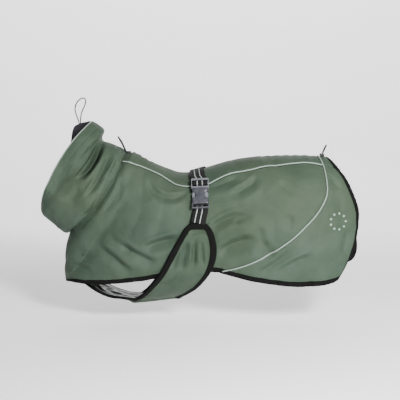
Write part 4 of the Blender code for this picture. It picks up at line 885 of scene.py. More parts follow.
# side panels from the spine seam to the hem, the spine panel over the back between its two
# seams, rump panels behind the rump seam
def makeTrunk():
    fine = {"rows": 132, "cols": 236, "spineRows": 24, "rumpRows": 150, "rumpCols": 74,
            "tuck": 8.0}
    f = np.linspace(0, 1, fine["rows"])
    endStation, endGirth, endTotal = rumpMeeting(f)
    u = np.concatenate([[-1, -0.6, -0.25], np.linspace(0, 1, fine["cols"])])
    for side, word, node in sides:
        station = np.where(u < 0, u * fine["tuck"], u * endStation[:, None])
        total = totalAt(trunk, np.clip(station, 0, rearEdge))
        top = seamGirth(station)
        panel(f"sidePanel{word}", f"side_panel_{node}", station,
              top + f[:, None] * (total - top), side, fine["tuck"])

    half = np.linspace(0, 1, fine["spineRows"])
    corner = endGirth[0] / endTotal[0]
    station = np.where(u < 0, u * fine["tuck"], u * rumpStation(half * corner)[:, None])
    girth = half[:, None] * seamGirth(station)
    under = np.clip(-station, 0, None)[..., None]
    halves = []
    for side in (-1, 1):
        outer, out = onCoat(station, girth, side)
        halves.append((outer - out * under * 0.5 + (-1, 0, 0) * under, out))
    outer, out = [acrossMiddle(*pair) for pair in zip(*halves)]
    outer[len(half) - 1, :, 1] = 0
    uv = np.stack([acrossMiddle(station, station), acrossMiddle(-girth, girth) + 500], axis=-1)
    clothPiece("spinePanel", "spine_panel", outer, outer - normalsOf(outer, out) * cloth["shell"],
               uv)

    share = np.linspace(0, 1, fine["rumpRows"])[:, None]
    v = np.linspace(0, 1, fine["rumpCols"])
    station = rumpStation(share) + v * (rearEdge - rumpStation(share))
    for side, word, node in sides:
        panel(f"rumpPanel{word}", f"rump_panel_{node}", station,
              share * totalAt(trunk, station), side)


makeTrunk()
print("trunk ready")


# the direction of a closed loop at each point, from one neighbour to the other
def roundRun(points):
    return unit(np.roll(points, -1, axis=0) - np.roll(points, 1, axis=0))


# vectors with their part along a run taken off, as units
def square(v, run):
    return unit(v - (v * run).sum(axis=1, keepdims=True) * run)


# round cord in a seam: its centre stands out of the cloth by a share of its radius
def pipingOn(name, node, points, out, looped=False):
    run = roundRun(points) if looped else unit(np.gradient(points, axis=0))
    out = square(out, run)
    finished(sweep(name, points, np.cross(run, out), out, roundProfile(cloth["piping"]), piping,
                   looped), "piping", node)


# pipings in both spine seams and one that runs through the whole rump seam
def makePipings():
    proud = {"spine": 0.45, "rump": 0.55}
    corner, _, _ = rumpMeeting(np.zeros(1))
    station = np.linspace(0.5, corner[0] - 1.2, 260)
    for side, word, node in sides:
        middle, out = place(trunk, station, seamGirth(station), side, -proud["spine"])
        pipingOn(f"spinePiping{word}", f"spine_piping_{node}", middle, out)
    share = np.linspace(0, 0.985, 220)
    station = rumpStation(share)
    girth = share * totalAt(trunk, station)
    halves = [place(trunk, station, girth, side, -proud["rump"]) for side in (-1, 1)]
    points, out = [acrossMiddle(*pair) for pair in zip(*halves)]
    points[len(share) - 1, 1] = 0
    pipingOn("rumpPiping", "rump_piping", points, out)


makePipings()


# tape folded round an edge. lines[k] is the cloth's outer face k steps in from the edge and
# out[k] the way out of it; the tape runs down the face, round the edge in a half circle and
# back up the other face. It stands ride off the cloth and thins towards its two edges
def edgeTape(name, node, lines, out, ride=0.12):
    thin = 0.35
    gap = cloth["shell"] / 2 + ride
    middle = lines - out * cloth["shell"] / 2
    foot = unit(middle[0] - middle[2])
    turn = np.linspace(math.pi / 2, -math.pi / 2, 9)[1:-1, None, None]
    ways = np.concatenate([out[::-1], out[0] * np.sin(turn) + foot * np.cos(turn), -out])
    centres = np.concatenate([middle[::-1], np.repeat(middle[:1], len(turn), axis=0), middle])
    inner = centres + ways * gap
    face = len(lines)
    swell = np.concatenate([np.linspace(thin, 1, face), np.ones(len(turn)),
                            np.linspace(1, thin, face)])[:, None, None]
    outer = centres + ways * (gap + cloth["tape"] * (0.45 + 0.55 * np.sqrt(swell)))
    around = distances(outer.transpose(1, 0, 2))[len(outer[0]) // 2]
    uv = uvSpread(distances(lines[0]), around)
    finished(wall(name, outer, inner, tape, uv), "binding", node)


tapeSteps = np.linspace(0, cloth["tapeWidth"], 7)


# a tape along each hem, and a wider one round the whole rear edge
def makeTrunkTapes():
    tapes = {"hemStart": 27.5, "hemEnd": 3.0, "hemCuts": 330, "rearWider": 1.5, "rearCuts": 150}
    station = np.linspace(tapes["hemStart"], rearEdge - tapes["hemEnd"], tapes["hemCuts"])
    for side, word, node in sides:
        girth = totalAt(trunk, station) - tapeSteps[:, None]
        across = np.broadcast_to(station, girth.shape)
        lines, out = onCoat(across, girth, side)
        edgeTape(f"hemTape{word}", f"hem_binding_{node}", lines, normalsOf(lines, out))
    share = np.linspace(0, 1, tapes["rearCuts"])
    station = rearEdge - tapes["rearWider"] * tapeSteps[:, None] + 0 * share
    halves = [onCoat(station, share * totalAt(trunk, station), side) for side in (-1, 1)]
    lines, out = [acrossMiddle(*pair, 1) for pair in zip(*halves)]
    edgeTape("rearTape", "rear_binding", lines, normalsOf(lines, out), ride=0.3)


makeTrunkTapes()
print("trunk trim ready")


# a near and a far half joined into rings: down the near side to the throat, up the far side
def aroundRing(near, far):
    return np.concatenate([near, far[:, -2:0:-1]], axis=1)


halfRing = 121            # points on half a ring, with those at the nape and at the throat


# closed rings round the collar at stations; with seams the cloth is drawn in there
def collarRings(stations, seams=False, plain=False):
    station = np.broadcast_to(np.array(stations, float)[:, None], (len(stations), halfRing))
    girth = np.linspace(0, 1, halfRing) * totalAt(collar, station)
    press = collarSeams(station, girth) if seams else 0
    halves = [place(collar, station, girth, side, press, plain) for side in (-1, 1)]
    points, out = [aroundRing(*pair) for pair in zip(*halves)]
    for middle in (0, halfRing - 1):
        points[:, middle, 1] = 0
        out[:, middle, 1] = 0
    return points, unit(out)


# the seam at the neck, the rim's edge and the stitched line that holds the lining
def collarSeams(station, girth):
    top = collar["lastStation"] - station
    ends = endFade(girth, totalAt(collar, station))
    return (seamPress(station, girth, groove=1.6, reach=2.2, pucker=0.9) * ends
            + seamPress(top, girth, groove=0.35, reach=2.5, pucker=0.18, fade=6.0)
            + seamPress(top - collar["rimStitch"], girth, groove=0.4, reach=1.6, pucker=0.1,
                        fade=4.0))


# normals of closed rings: each is widened by a column on both sides first
def ringNormals(grid, out):
    wide = np.concatenate([grid[:, -1:], grid, grid[:, :1]], axis=1)
    towards = np.concatenate([out[:, -1:], out, out[:, :1]], axis=1)
    return normalsOf(wide, towards)[:, 1:-1]


# the collar's cloth, the piping on its rim and the lining inside. From 7 mm below the rim the
# lining steps in behind the piping. It stands over the rim where liningStand says, rippled, and
# ends in a soft rolled hem
def makeCollar():
    fine = {"rows": 112, "liningRows": 44, "hem": 0.75, "foot": 3.0, "off": 0.6, "over": 0.3,
            "ripple": 0.35, "ripples": 60}
    last = collar["lastStation"]
    station = np.linspace(0.0, last, fine["rows"])
    outer, out = collarRings(station, seams=True)
    inner = outer - ringNormals(outer, out) * cloth["shell"]
    cols = outer.shape[1]
    uv = uvSpread(np.linspace(0, 500, cols + 1), station)
    clothPiece("collarShell", "collar", outer, inner, uv, closed=True)

    rim, rimOut = outer[-1], out[-1]
    lowRing, topRing = collarRings([last - 6, last], plain=True)[0]
    rise = unit(topRing - lowRing)
    middle = rim - rimOut * cloth["shell"] / 2 + rise * (cloth["piping"] + 0.1)
    pipingOn("collarPiping", "collar_piping", middle, rise, True)

    share = np.linspace(0, 1, halfRing)
    turns = np.concatenate([-share, share[-2:0:-1]])
    stand = curveThrough(turns, collar["liningStand"]["turn"], collar["liningStand"]["stand"])
    down = collar["liningDrop"]
    steps = -down + np.linspace(0, 1, fine["liningRows"])[:, None] * (down + stand)
    below = np.clip(steps, -down, -fine["foot"])
    stations = (last + below[:, :halfRing],
                last + np.concatenate([below[:, :1], below[:, :halfRing - 2:-1]], axis=1))
    halves = [place(collar, at, share * totalAt(collar, at), side)
              for at, side in zip(stations, (-1, 1))]
    points, lean = [aroundRing(*pair) for pair in zip(*halves)]
    lean = unit(lean)
    points = points + rise * (steps - below)[..., None]
    stepIn = (2 * cloth["piping"] - cloth["shell"]) / 2 + fine["over"]
    inset = cloth["shell"] + fine["off"] + stepIn * np.clip((steps + 7) / 5, 0, 1)
    ripple = (fine["ripple"] * np.sin(turns * fine["ripples"] + steps / 6)
              * np.clip((steps + 6) / 6, 0, 1))
    outer = points - lean * (inset + ripple)[..., None]
    for middle in (0, halfRing - 1):
        outer[:, middle, 1] = 0
    inner = outer - ringNormals(outer, lean) * cloth["lining"]
    uv = uvSpread(np.linspace(0, 480, cols + 1), np.linspace(0, 30, fine["liningRows"]))
    clothPiece("collarLining", "collar_lining", outer, inner, uv, ribLining, "lining_dark", True)

    top = (outer[-1] + inner[-1]) / 2
    run = roundRun(top)
    up = square(rise, run)
    finished(sweep("liningEdge", top, np.cross(run, up), up, roundProfile(fine["hem"], 8),
                   ribLining, True), "lining_dark")


makeCollar()
print("collar ready")


belly = {
    # half of the band from a wing's top down to the belly line; y is half the width there
    "wing": columnsOf("frontX frontZ frontY rearX rearZ rearY", [
        (-9.5, -76.0, 82.0, 15.5, -76.0, 82.0), (-17.5, -85.0, 82.0, 23.5, -86.5, 82.0),
        (-25.5, -99.0, 82.5, 28.0, -100.0, 83.0), (-34.0, -114.0, 82.5, 30.0, -115.0, 83.0),
        (-45.0, -136.0, 81.0, 28.5, -131.0, 82.0), (-57.2, -158.5, 76.0, 23.4, -147.0, 79.0),
        (-74.9, -182.7, 62.0, 13.5, -165.0, 71.0), (-89.3, -199.5, 48.0, -1.0, -183.0, 59.0),
        (-101.2, -209.1, 36.0, -15.0, -195.0, 44.0), (-104.5, -216.0, 18.0, -27.0, -205.5, 23.0),
        (-105.5, -219.0, 0.0, -33.0, -211.0, 0.0),
    ]),
    # how the far wing differs by row: further to the rear and lower
    "farWing": columnsOf("rear drop", [
        (8, 0), (8, 0), (8, 0), (8, 0), (8, 1), (7, 3), (5, 5), (3.5, 7.5), (3, 7.5), (1.5, 3),
        (0, 0),
    ]),
    "crown": 2.0, "clearance": (7.8, 4.4),     # mm off the trunk at z -150 and at z -80
    "foldGain": 1.8, "crease": 0.45, "pucker": 0.3,
    "folds": columnsOf("fromX fromZ toX toZ sag width depth", [
        (-2, -100, -5, -144, 0, 4.6, 4.2), (-14, -100, -24, -150, 1, 4.2, 2.8),
        (8, -102, 11, -140, 0, 4.0, 2.6), (-26, -110, -40, -146, 0, 4.2, 2.4),
        (-10, -90, 16, -88, -2, 3.0, 1.8), (-20, -150, -52, -186, 3, 7, 1.8),
    ]),
    "strap": columnsOf("x centreZ halfWidth cup roll", [
        (-216.0, -170.5, 9.0, 0.0, 0.0), (-205.0, -174.7, 23.0, 1.0, -1.0),
        (-188.0, -183.8, 34.0, 2.0, -2.2), (-166.6, -198.4, 40.5, 3.0, -2.6),
        (-141.5, -210.5, 42.0, 4.0, -3.2), (-120.0, -215.6, 39.5, 4.5, -5.0),
    ]),
    "fineRows": 81, "fineCols": 37,
    "strapRow": 64,                # the row of the fine grid where the strap's edge meets the band
}


# half the trunk's width at places seen from one side: the mean of the four nearest ribs' points
def flankHalfWidth(x, z, side):
    station, share = np.meshgrid(np.linspace(60, 215, 90), np.linspace(0.30, 1.0, 80))
    sample, _ = place(trunk, station, share * totalAt(trunk, station), side)
    flat = sample.reshape(-1, 3)
    gap = (x.ravel()[:, None] - flat[:, 0]) ** 2 + (z.ravel()[:, None] - flat[:, 2]) ** 2
    nearest = np.argpartition(gap, 4, axis=1)[:, :4]
    close = np.take_along_axis(gap, nearest, axis=1)
    weight = 1 / (close + 0.5)
    half = side * (flat[:, 1][nearest] * weight).sum(axis=1) / weight.sum(axis=1)
    below = np.sqrt(close.min(axis=1))
    return (half - 1.2 * np.clip(below - 3.0, 0, None)).reshape(x.shape)


# box mean along an axis, its ends kept
def softened(values, axis, times=1):
    for _ in range(times):
        values = np.moveaxis(values, axis, 0)
        inner = (values[:-2] + values[1:-1] + values[2:]) / 3
        values = np.moveaxis(np.concatenate([values[:1], inner, values[-1:]]), 0, axis)
    return values


# one wing down to the belly line: it swells out in its middle, keeps clear of the trunk, and is
# folded and puckered away from its edges
def halfBand(side):
    wing, far = belly["wing"], belly["farWing"]
    rows = np.arange(len(wing["frontX"]), dtype=float)
    at = np.linspace(0, rows[-1], belly["fineRows"])
    c = {name: curveThrough(at, rows, wing[name])[:, None] for name in wing}
    u = np.linspace(0, 1, belly["fineCols"])[None, :]
    x = c["frontX"] + u * (c["rearX"] - c["frontX"])
    z = c["frontZ"] + u * (c["rearZ"] - c["frontZ"])
    y = c["frontY"] + u * (c["rearY"] - c["frontY"])
    swell = belly["crown"] * 4 * u * (1 - u) * np.clip(at / 4, 0, 1)[:, None]
    lower = np.clip((at - 10) / 6, 0, 1)[:, None]
    y, z = y + swell * (1 - lower), z - swell * lower
    away = np.minimum(u, 1 - u) * np.hypot(c["rearX"] - c["frontX"], c["rearZ"] - c["frontZ"])
    folds = (belly["foldGain"] * foldDepth(belly["folds"], x, z)
             * np.clip((away - 5) / 9, 0, 1))
    if side > 0:
        x = x + curveThrough(at, rows, far["rear"])[:, None]
        z = z - curveThrough(at, rows, far["drop"])[:, None]
    clear = np.interp(z, (-150, -80), belly["clearance"])
    small = (belly["crease"] * creases(x, z, 12) * np.clip(away / 8, 0, 1)
             * np.clip(np.abs(y) / 20, 0, 1))
    pucker = (belly["pucker"] * np.sin(at[:, None] * 5.2)
              * np.exp(-(np.clip(away - 6, 0, None) / 5) ** 2))
    width = softened(softened(flankHalfWidth(x, z, side), 0, 3), 1, 3)
    y = np.maximum(y, width + clear) - folds - small - pucker * np.clip(at, 0, 1)[:, None]
    y[-1] = 0
    return np.stack([x, side * y, z], axis=-1)


# lines going in from an edge by the tape's steps, straight towards a target on the cloth
def linesIn(edge, target, faceOut):
    way = unit(target - edge)
    lines = edge + tapeSteps[:, None, None] * way
    along = unit(np.gradient(edge, axis=0))
    out = unit(np.cross(along, way))
    out *= np.sign((out * faceOut).sum(axis=-1, keepdims=True))
    return lines, np.broadcast_to(out, lines.shape)


# the point at a distance along each line
def pointAlong(lines, distance):
    run = distances(lines.transpose(1, 0, 2))
    i = np.clip((run < distance).sum(axis=1) - 1, 0, len(lines) - 2)
    n = np.arange(len(i))
    part = (distance - run[n, i]) / np.maximum(run[n, i + 1] - run[n, i], 1e-9)
    return lines[i, n] + part[:, None] * (lines[i + 1, n] - lines[i, n])


# both wings as one piece, softened where they meet, and the tape round it
def makeBand():
    near, far = halfBand(-1), halfBand(1)
    grid = np.concatenate([near, far[-2::-1]])
    joint = slice(len(near) - 3, len(near) + 2)
    grid[joint] = softened(grid, 0, 6)[joint]
    out = normalsOf(grid, grid - (-30.0, 0, -90.0))
    inner = grid - out * cloth["shell"]
    rows, cols = grid.shape[:2]
    clothPiece("bellyBand", "belly_band", grid, inner,
               uvSpread(np.linspace(0, 60, cols), np.linspace(0, 520, rows)))

    # the edge from the strap up the near wing, round its top, down its rear and up the far wing
    blend, first = 8, belly["strapRow"] + 1
    edges, targets, outs = [], [], []

    def add(edge, target, way):
        edges.append(edge)
        targets.append(target)
        outs.append(way)

    def addSide(face, way):
        lines = face.transpose(1, 0, 2)
        add(face[:, 0], pointAlong(lines, cloth["tapeWidth"]), way[:, 0])

    def addTop(face, way):
        front, rear = np.arange(blend - 1, 0, -1), np.arange(1, blend)
        edge = np.concatenate([face[front, 0], face[0, ::3], face[rear, -1]])
        deep = face[blend * 2]
        share = np.linspace(0.22, 0.78, len(edge))[:, None]
        target = deep[0] + share * (deep[-1] - deep[0])
        add(edge, edge + unit(target - edge) * cloth["tapeWidth"],
            np.concatenate([way[front, 0], way[0, ::3], way[rear, -1]]))

    front = np.arange(first, blend - 1, -1)
    rear = np.arange(blend, rows - blend)
    addSide(grid[front], out[front])
    addTop(grid, out)
    addSide(grid[rear, ::-1], out[rear, ::-1])
    addTop(grid[::-1, ::-1], out[::-1, ::-1])
    back = rows - 1 - front[::-1]
    addSide(grid[back], out[back])
    edge, target, way = [np.concatenate(v) for v in (edges, targets, outs)]
    edge, target, way = softened(edge, 0, 2), softened(target, 0, 10), softened(way, 0, 6)
    lines, lineOut = linesIn(edge, target, unit(way))
    edgeTape("bandTape", "band_binding", lines, lineOut, ride=0.9)
    return grid, inner


# the strap: cross lines z = centre + cup y^2 + roll y with small waves, joined to the band's
# front edge; a tape on both edges, and a crushed lining between the tapes that runs on inside
# the band
def makeStrap(bandOuter, bandInner):
    lay = {"rows": 60, "free": 8, "count": 61, "under": 2.4, "crush": 1.3, "thin": 0.8}
    first = belly["strapRow"]
    rows = slice(first, len(bandOuter) - first)
    joint, jointInner = bandOuter[rows, 0], bandInner[rows, 0]
    forward = unit(joint - bandOuter[rows, 4])
    table = belly["strap"]
    x = np.linspace(table["x"][0], table["x"][-1], lay["rows"])
    across = np.linspace(-1, 1, len(joint))
    c = {name: curveThrough(x, table["x"], table[name])[:, None] for name in table}
    z = c["centreZ"] + c["cup"] * across ** 2 + c["roll"] * across
    grid = np.stack(np.broadcast_arrays(x[:, None], c["halfWidth"] * across, z), axis=-1)
    grid = np.concatenate([grid, (joint + forward * 1.0)[None]])
    flat = grid.copy()
    grid[..., 2] += (0.5 * creases(grid[..., 0], grid[..., 1] * 1.6, 21)
                     * np.clip((x[-1] + 4 - grid[..., 0]) / 20, 0, 1) * (1 - across ** 4))
    out = normalsOf(grid, grid - (-150.0, 0, -60.0))
    inner = grid - out * cloth["shell"]
    inner[-1] = jointInner + forward * 1.0
    uv = np.stack([grid[..., 0] + 300, grid[..., 1] + 100], axis=-1)
    clothPiece("chestStrap", "chest_strap", grid, inner, uv)
    for side, word, node in sides:
        lines = flat[lay["free"]:, ::-side]
        target = pointAlong(lines.transpose(1, 0, 2), cloth["tapeWidth"])
        tapeLines, tapeOut = linesIn(lines[:, 0], softened(target, 0, 4),
                                     out[lay["free"]:, ::-side][:, 0])
        edgeTape(f"strapTape{word}", f"strap_binding_{node}", tapeLines, tapeOut, ride=0.3)

    under = np.concatenate([inner[lay["free"]:-1], bandInner[rows, 1:15].transpose(1, 0, 2)])
    way = normalsOf(under, under - (-130.0, 0, -60.0))
    width = np.linalg.norm(under[:, -1] - under[:, 0], axis=1)
    keep = np.clip(1 - 2 * (cloth["tapeWidth"] - 1.5) / width, 0.15, 1)
    count = lay["count"]
    at = (len(joint) - 1) * (0.5 + (np.linspace(0, 1, count) - 0.5) * keep[:, None])
    low = np.clip(at.astype(int), 0, len(joint) - 2)
    line = np.arange(len(under))[:, None]
    part = (at - low)[..., None]
    base = under[line, low] * (1 - part) + under[line, low + 1] * part
    up = unit(way[line, low])
    edge = np.clip(np.minimum(np.arange(count), count - 1 - np.arange(count)) / 6, 0, 1)
    crush = creases(base[..., 0] * 1.1, base[..., 1] * 2.6, 33, 18) * lay["crush"] * edge
    top = base - up * (lay["under"] + crush)[..., None]
    bottom = top + up * cloth["lining"] * lay["thin"]
    uv = np.stack([base[..., 0] + 300, base[..., 1] + 100], axis=-1)
    made = finished(wall("strapLining", bottom, top, silverLining, uv), "lining_silver",
                    "chest_strap_lining")
    declareSheet(top)


bandGrid, bandInner = makeBand()
makeStrap(bandGrid, bandInner)
print("belly piece ready")


belt = {
    "width": 24.0, "thick": 1.4, "gap": 0.3, "buckleGirth": 73.5, "buckleStand": 1.4,
    "farGirth": 92.0,
    "course": columnsOf("girth nearStation nearStand farStation farStand", [
        (0, 122.0, 2.3, 122.0, 2.3), (12, 122.8, 2.3, 123.5, 2.3), (25, 124.0, 2.7, 125.5, 2.5),
        (40, 125.6, 3.4, 128.0, 3.6), (56, 127.8, 4.2, 131.0, 4.0), (74, 129.2, 4.2, 134.0, 3.0),
        (92, 130.0, 4.2, 136.5, 3.0),
    ]),
    "femaleLength": 35.0, "femaleThick": 8.0, "ladderLength": 17.0, "ladderThick": 3.4,
    "ladderBar": 3.2, "tailSlot": 4.4, "tailBar": 2.4,
}


# highest cloth under the webbing at a distance down one side, the ways out and across, and how
# far the webbing stands off it there
def beltSurface(girth, side):
    girth = np.atleast_1d(np.asarray(girth, float))
    word = "far" if side > 0 else "near"
    course = belt["course"]
    station = curveThrough(girth, course["girth"], course[f"{word}Station"])
    stand = curveThrough(girth, course["girth"], course[f"{word}Stand"])
    reach = belt["width"] / 2
    beside = {k: place(trunk, station + reach * k, girth, side)[0] for k in (-1, -0.5, 0, 0.5, 1)}
    across = unit(beside[1] - beside[-1])
    lower = place(trunk, station, girth + 3, side)[0]
    upper = place(trunk, station, girth - 3, side)[0]
    out = unit(np.cross(lower - upper, across)) * (-side)
    high = np.max([((p - beside[0]) * out).sum(axis=1) for p in beside.values()], axis=0)
    return beside[0] + out * high[:, None], out, across, stand


# webbing along a smooth path through points, flat to the ways across
def ribbon(name, node, points, across, width):
    run = distances(points)
    at = np.linspace(0, run[-1], int(run[-1] / 1.2) + 2)
    points, across = [pathThrough(at, run, v) for v in (points, across)]
    along = unit(np.gradient(points, axis=0))
    across = square(across, along)
    finished(sweep(name, points, across, np.cross(along, across),
                   bandProfile(width, belt["thick"]), webbing), "webbing", node)


# the buckle's place on the near flank; the upper webbing goes through the ladder, over the back
# and down the far side, the lower one from the socket's tail bar to the near wing
def makeBelt():
    point, out, across, _ = [v[0] for v in beltSurface(belt["buckleGirth"], -1)]
    across = unit(across * (1, 1, 0.2))
    out = unit(out - (out * across).sum() * across)
    down = unit(np.cross(across, out))
    down = down if down[2] < 0 else -down
    centre = point + out * belt["buckleStand"]

    def spot(along, up):
        return centre + down * along + out * up

    total = belt["ladderLength"] + belt["femaleLength"]
    middle, start, end, bar = belt["femaleThick"] / 2, -total / 2, total / 2, belt["ladderBar"]
    low, high = middle - belt["ladderThick"] / 2, middle + belt["ladderThick"] / 2
    rise = belt["thick"] / 2 + belt["gap"]
    slot = (belt["ladderLength"] - 3 * bar) / 2
    firstSlot, middleBar = start + bar + slot / 2, start + bar + slot + bar / 2
    secondSlot = start + 2 * bar + slot * 1.5
    over = [spot(secondSlot, low + 0.2), spot(secondSlot, high - 0.4),
            spot(secondSlot - 0.9, high + rise), spot(middleBar, high + rise + 0.2),
            spot(firstSlot + 0.9, high + rise), spot(firstSlot, high - 0.4),
            spot(firstSlot, low + 0.4), spot(firstSlot - 0.9, low - rise),
            spot(start + bar / 2, low - rise - 1.2)]
    ways = [across] * len(over)
    nearGirth = np.linspace(belt["buckleGirth"] - total / 2 - 12.0, 0.0, 5)
    farGirth = np.linspace(0.0, belt["farGirth"], 12)[1:]
    for girths, side in ((nearGirth, -1), (farGirth, 1)):
        points, outs, crosses, stand = beltSurface(girths, side)
        over += list(points + outs * stand[:, None])
        ways += list(crosses)
    ways = np.array(ways)
    for pull, i in ((0.95, 9), (0.6, 10), (0.3, 11)):
        ways[i] = unit(ways[i] + pull * (across - ways[i]))
    ribbon("upperWebbing", "webbing_upper", np.array(over), ways, belt["width"])

    tail = end - belt["tailBar"] - belt["tailSlot"] / 2
    under = [spot(tail, belt["femaleThick"] - 3.4), spot(tail, 1.0), spot(tail + 0.7, -0.7),
             spot(end - belt["tailBar"], -1.3), spot(end + 1.0, -1.3)]
    leave = under[-1]
    goal = bandGrid[0].mean(axis=0) + (0, -1.0, 2.2)
    under += [leave + (goal - leave) * t + out * 3.2 * t * (1 - t) for t in (0.35, 0.7, 1.0)]
    ribbon("lowerWebbing", "webbing_lower", np.array(under), np.tile(across, (len(under), 1)),
           belt["width"] - 0.6)
    return centre, across, down, out


# a solid's mesh with its loose triangles merged and its edges rounded
def roundedCopy(name, node, slotName, finish, bevel, segments=3):
    made = frame["nodes"][node].copy()
    made.data = frame["nodes"][node].data.copy()
    made.name, made.parent = name, None
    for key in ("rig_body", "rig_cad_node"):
        if key in made:
            del made[key]
    bpy.context.scene.collection.objects.link(made)
    work = bmesh.new()
    work.from_mesh(made.data)
    bmesh.ops.remove_doubles(work, verts=work.verts, dist=0.00002)
    bmesh.ops.dissolve_limit(work, angle_limit=math.radians(2), verts=work.verts,
                             edges=work.edges)
    work.to_mesh(made.data)
    work.free()
    made.data.materials.clear()
    made.data.materials.append(finish)
    edge = made.modifiers.new("rounded", "BEVEL")
    edge.width, edge.segments, edge.angle_limit = bevel * mm, segments, math.radians(35)
    made.data.shade_smooth()
    made.data.set_sharp_from_angle(angle=math.radians(40))
    finished(made, slotName, node)


# rings of points joined one after the other, both ends drawn in to a point
def loft(name, rings, finish):
    middle = rings.mean(axis=1, keepdims=True)
    drawn = np.array([0.0, 0.8])[:, None, None]
    first, last = [middle[k] + (rings[k] - middle[k]) * drawn for k in (0, -1)]
    rings = np.concatenate([first, rings, last[::-1]])
    return newMesh(name, rings, manyQuads(*rings.shape[:2], 1), finish)


# the socket: a flat body with a bite in each side, then a slot between two bars and a tail bar
def makeSocket(centre, across, down, out):
    look = {"half": 13.4, "bite": 5.0, "biteAt": 12.3, "biteHalf": 6.2, "taper": 2.2,
            "waist": 0.9, "mouth": 1.6, "round": 1.4, "roundRun": 1.3, "low": 0.2, "barDrop": 2.0,
            "barHalf": 1.25}
    total = belt["ladderLength"] + belt["femaleLength"]
    join, end, thick = total / 2 - belt["femaleLength"], total / 2, belt["femaleThick"]
    slotStart = end - belt["tailBar"] - belt["tailSlot"]

    def rings(along, half, low, high, shift=0.0, power=7, sides=40):
        c, s = roundedSquare(sides, power)
        a = shift + half[:, None] * c
        b = ((high + low) / 2)[:, None] + ((high - low) / 2)[:, None] * s
        return (centre + across * a[..., None] + down * along[:, None, None]
                + out * b[..., None])

    along = np.linspace(join + 0.3, slotStart, 110)
    t = (along - join) / belt["femaleLength"]
    bite = np.clip(1 - ((along - join - look["biteAt"]) / look["biteHalf"]) ** 2, 0, 1) ** 0.5
    half = (look["half"] - look["waist"] * np.sin(np.clip(t, 0, 1) * np.pi) - look["bite"] * bite
            - look["waist"] * np.clip(1 - (along - join - 0.3) / look["mouth"], 0, 1) ** 2)
    tip = np.clip(np.minimum(along - along[0], along[-1] - along) / look["roundRun"], 0, 1)
    high = (thick - look["round"] * (1 - np.sqrt(1 - (1 - tip) ** 2))
            - look["taper"] * np.clip(t - 0.62, 0, 1))
    finished(loft("buckleSocket", rings(along, half, 0 * along + look["low"], high), plastic),
             "plastic", "buckle_female")
    low, top = look["low"], thick - look["barDrop"]
    bars = np.linspace(slotStart - 1.0, end - 0.6, 16)
    for side, word, _ in sides:
        finished(loft(f"buckleBar{word}", rings(
            bars, 0 * bars + look["barHalf"], 0 * bars + low, 0 * bars + top,
            side * (look["half"] - look["waist"]), 4, 20), plastic), "plastic")
    tail = np.linspace(end - belt["tailBar"], end, 12)
    off = (tail - tail.mean()) / (belt["tailBar"] / 2 + 0.05)
    bulge = np.sqrt(np.clip(1 - off ** 2, 0.05, 1)) * (top - low) / 2
    middle = (low + top) / 2
    finished(loft("buckleTail", rings(tail, 0 * tail + look["half"] + 0.2, middle - bulge,
                                      middle + bulge), plastic), "plastic")


makeSocket(*makeBelt())
roundedCopy("buckleLadder", "buckle_male", "plastic", prongPlastic, 0.35)
print("belt ready")


# bands of tape inside the rear corners, along a smooth path through the table's rows
def makeLegStraps():
    table = columnsOf("x near far z", [
        (251.0, 41.0, 40.4, -80.0), (250.2, 38.9, 38.0, -87.5), (251.0, 37.4, 36.4, -96.0),
        (252.6, 36.8, 35.9, -105.0), (253.2, 37.0, 36.4, -115.5), (252.2, 37.4, 37.0, -125.0),
        (248.2, 38.0, 37.8, -133.0), (237.0, 40.0, 39.8, -138.6), (227.5, 43.4, 43.2, -143.1),
        (221.2, 47.2, 47.0, -147.1),
    ])
    for side, word, node in sides:
        rows = np.stack([table["x"], side * table[node], table["z"]], axis=-1)
        knots = distances(rows)
        at = np.linspace(0, knots[-1], 90)
        points = evenly(pathThrough(at, knots, rows), 1.2)
        run = unit(np.gradient(points, axis=0))
        across = unit(np.cross(run, np.array([0.55, side * 0.75, 0.35])))
        finished(sweep(f"legStrap{word}", points, across, np.cross(run, across),
                       bandProfile(12.0, 1.2), tape), "binding", f"leg_strap_{node}")


makeLegStraps()


# thread: short capsules along a line, each a stretched ring stack of few faces that humps up
# in its middle
def stitches(name, points, out, slotName="shell", length=2.4, gap=1.3, radius=0.2):
    run = distances(points)
    count = int(run[-1] / (length + gap))
    mid = (np.arange(count) + 0.5) * run[-1] / count
    centre, up = [np.stack([np.interp(mid, run, v[:, k]) for k in range(3)], axis=-1)
                  for v in (points, out)]
    ahead = [np.stack([np.interp(mid + d, run, points[:, k]) for k in range(3)], axis=-1)
             for d in (-1.0, 1.0)]
    along = unit(ahead[1] - ahead[0])
    up = square(up, along)
    across = np.cross(along, up)
    t = np.array([-1, -0.8, 0, 0.8, 1])
    ring = np.array([0.0, 0.8, 1.0, 0.8, 0.0]) * radius
    turn = 2 * np.pi * np.arange(6) / 6
    hump = radius * 0.5 * (1 - t ** 2)
    body = (centre[:, None, None] + along[:, None, None] * (t * length / 2)[None, :, None, None]
            + across[:, None, None] * (ring[:, None] * np.cos(turn))[None, ..., None] * 1.4
            + up[:, None, None] * (ring[:, None] * np.sin(turn)
                                   + hump[:, None])[None, ..., None])
    finished(newMesh(name, body, manyQuads(len(t), len(turn), count), thread), slotName)


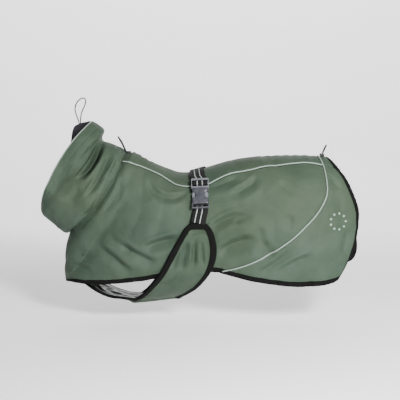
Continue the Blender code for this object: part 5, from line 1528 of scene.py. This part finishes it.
# rows beside both spine seams, behind the rump seam and below the collar's rim
def makeStitches():
    beside = {"spine": 4.2, "rump": 4.6, "proud": 0.1}
    corner, _, _ = rumpMeeting(np.zeros(1))
    station = np.linspace(3, corner[0] - 5, 500)
    share = np.linspace(0.12, 0.97, 400)
    for side, word, _ in sides:
        for way, tag in ((1, "Low"), (-1, "High")):
            points, out = onCoat(station, seamGirth(station) + way * beside["spine"], side)
            stitches(f"spineStitch{word}{tag}", points + out * beside["proud"], out)
        behind = rumpStation(share) + beside["rump"]
        points, out = onCoat(behind, share * totalAt(trunk, behind), side)
        stitches(f"rumpStitch{word}", points + out * beside["proud"], out)
        rim = np.linspace(0.02, 0.985, 400)
        level = collar["lastStation"] - collar["rimStitch"] + 0 * rim
        girth = rim * totalAt(collar, level)
        points, out = place(collar, level, girth, side, collarSeams(level, girth))
        stitches(f"rimStitch{word}", points + out * beside["proud"], out)


makeStitches()


# a sewn box with a cross on the webbing's far end, where it is held on the coat
def makeBoxStitch():
    box = {"from": 72.0, "to": 88.0, "half": 9.0}
    corners = [(-1, 0), (1, 0), (1, 1), (-1, 1), (-1, 0), (1, 1), (1, 0), (-1, 1)]
    a, b = [np.interp(np.linspace(0, 7, 210), np.arange(8), [c[k] for c in corners])
            for k in (0, 1)]
    point, out, across, stand = beltSurface(box["from"] + b * (box["to"] - box["from"]), 1)
    high = (stand + belt["thick"] / 2 - 0.05)[:, None]
    points = point + out * high + across * (a * box["half"])[:, None]
    stitches("webbingStitch", points, out, "webbing", 2.0, 1.0, 0.22)


makeBoxStitch()


# (station, girth) of side-view places x, z on the trunk: Newton steps on the form's own slopes
def onTrunk(x, z, side, station, girth):
    station, girth = np.full(x.shape, float(station)), np.full(x.shape, float(girth))
    for _ in range(8):
        here, down, along = [place(trunk, station + a, girth + b, side, plain=True)[0]
                             for a, b in ((0, 0), (0, 1), (1, 0))]
        (ax, az), (bx, bz) = [((p - here)[..., 0], (p - here)[..., 2]) for p in (along, down)]
        mx, mz = x - here[..., 0], z - here[..., 2]
        area = ax * bz - az * bx
        station = np.clip(station + (mx * bz - mz * bx) / area, 0, rearEdge)
        girth = girth + (ax * mz - az * mx) / area
    return station, girth


# a plain ring of small round reflective dots on the rump, each a low dome on the cloth
def makeDots():
    ring = {"x": 223.0, "z": -72.0, "radius": 12.5, "dots": 9, "dot": 1.7, "rise": 0.28}
    turn = 2 * np.pi * np.arange(ring["dots"]) / ring["dots"]
    r = np.array([1.0, 1.0, 0.9, 0.6, 0.3, 0.0])[:, None]
    high = np.array([-0.25, 0.6, 0.9, 1.0, 1.0, 1.0]) * ring["rise"]
    spin = 2 * np.pi * np.arange(20) / 20
    x = ring["x"] + ring["radius"] * np.cos(turn)[:, None, None] + ring["dot"] * r * np.cos(spin)
    z = ring["z"] + ring["radius"] * np.sin(turn)[:, None, None] + ring["dot"] * r * np.sin(spin)
    for side, word, _ in sides:
        s, g = onTrunk(x, z, side, 320, 95)
        points, out = onCoat(s, g, side)
        quads = manyQuads(len(high), len(spin), ring["dots"])
        finished(newMesh(f"reflectorDots{word}", points + out * high[:, None, None], quads,
                         piping), "piping")


makeDots()
print("stitching and dots ready")

print("finished")
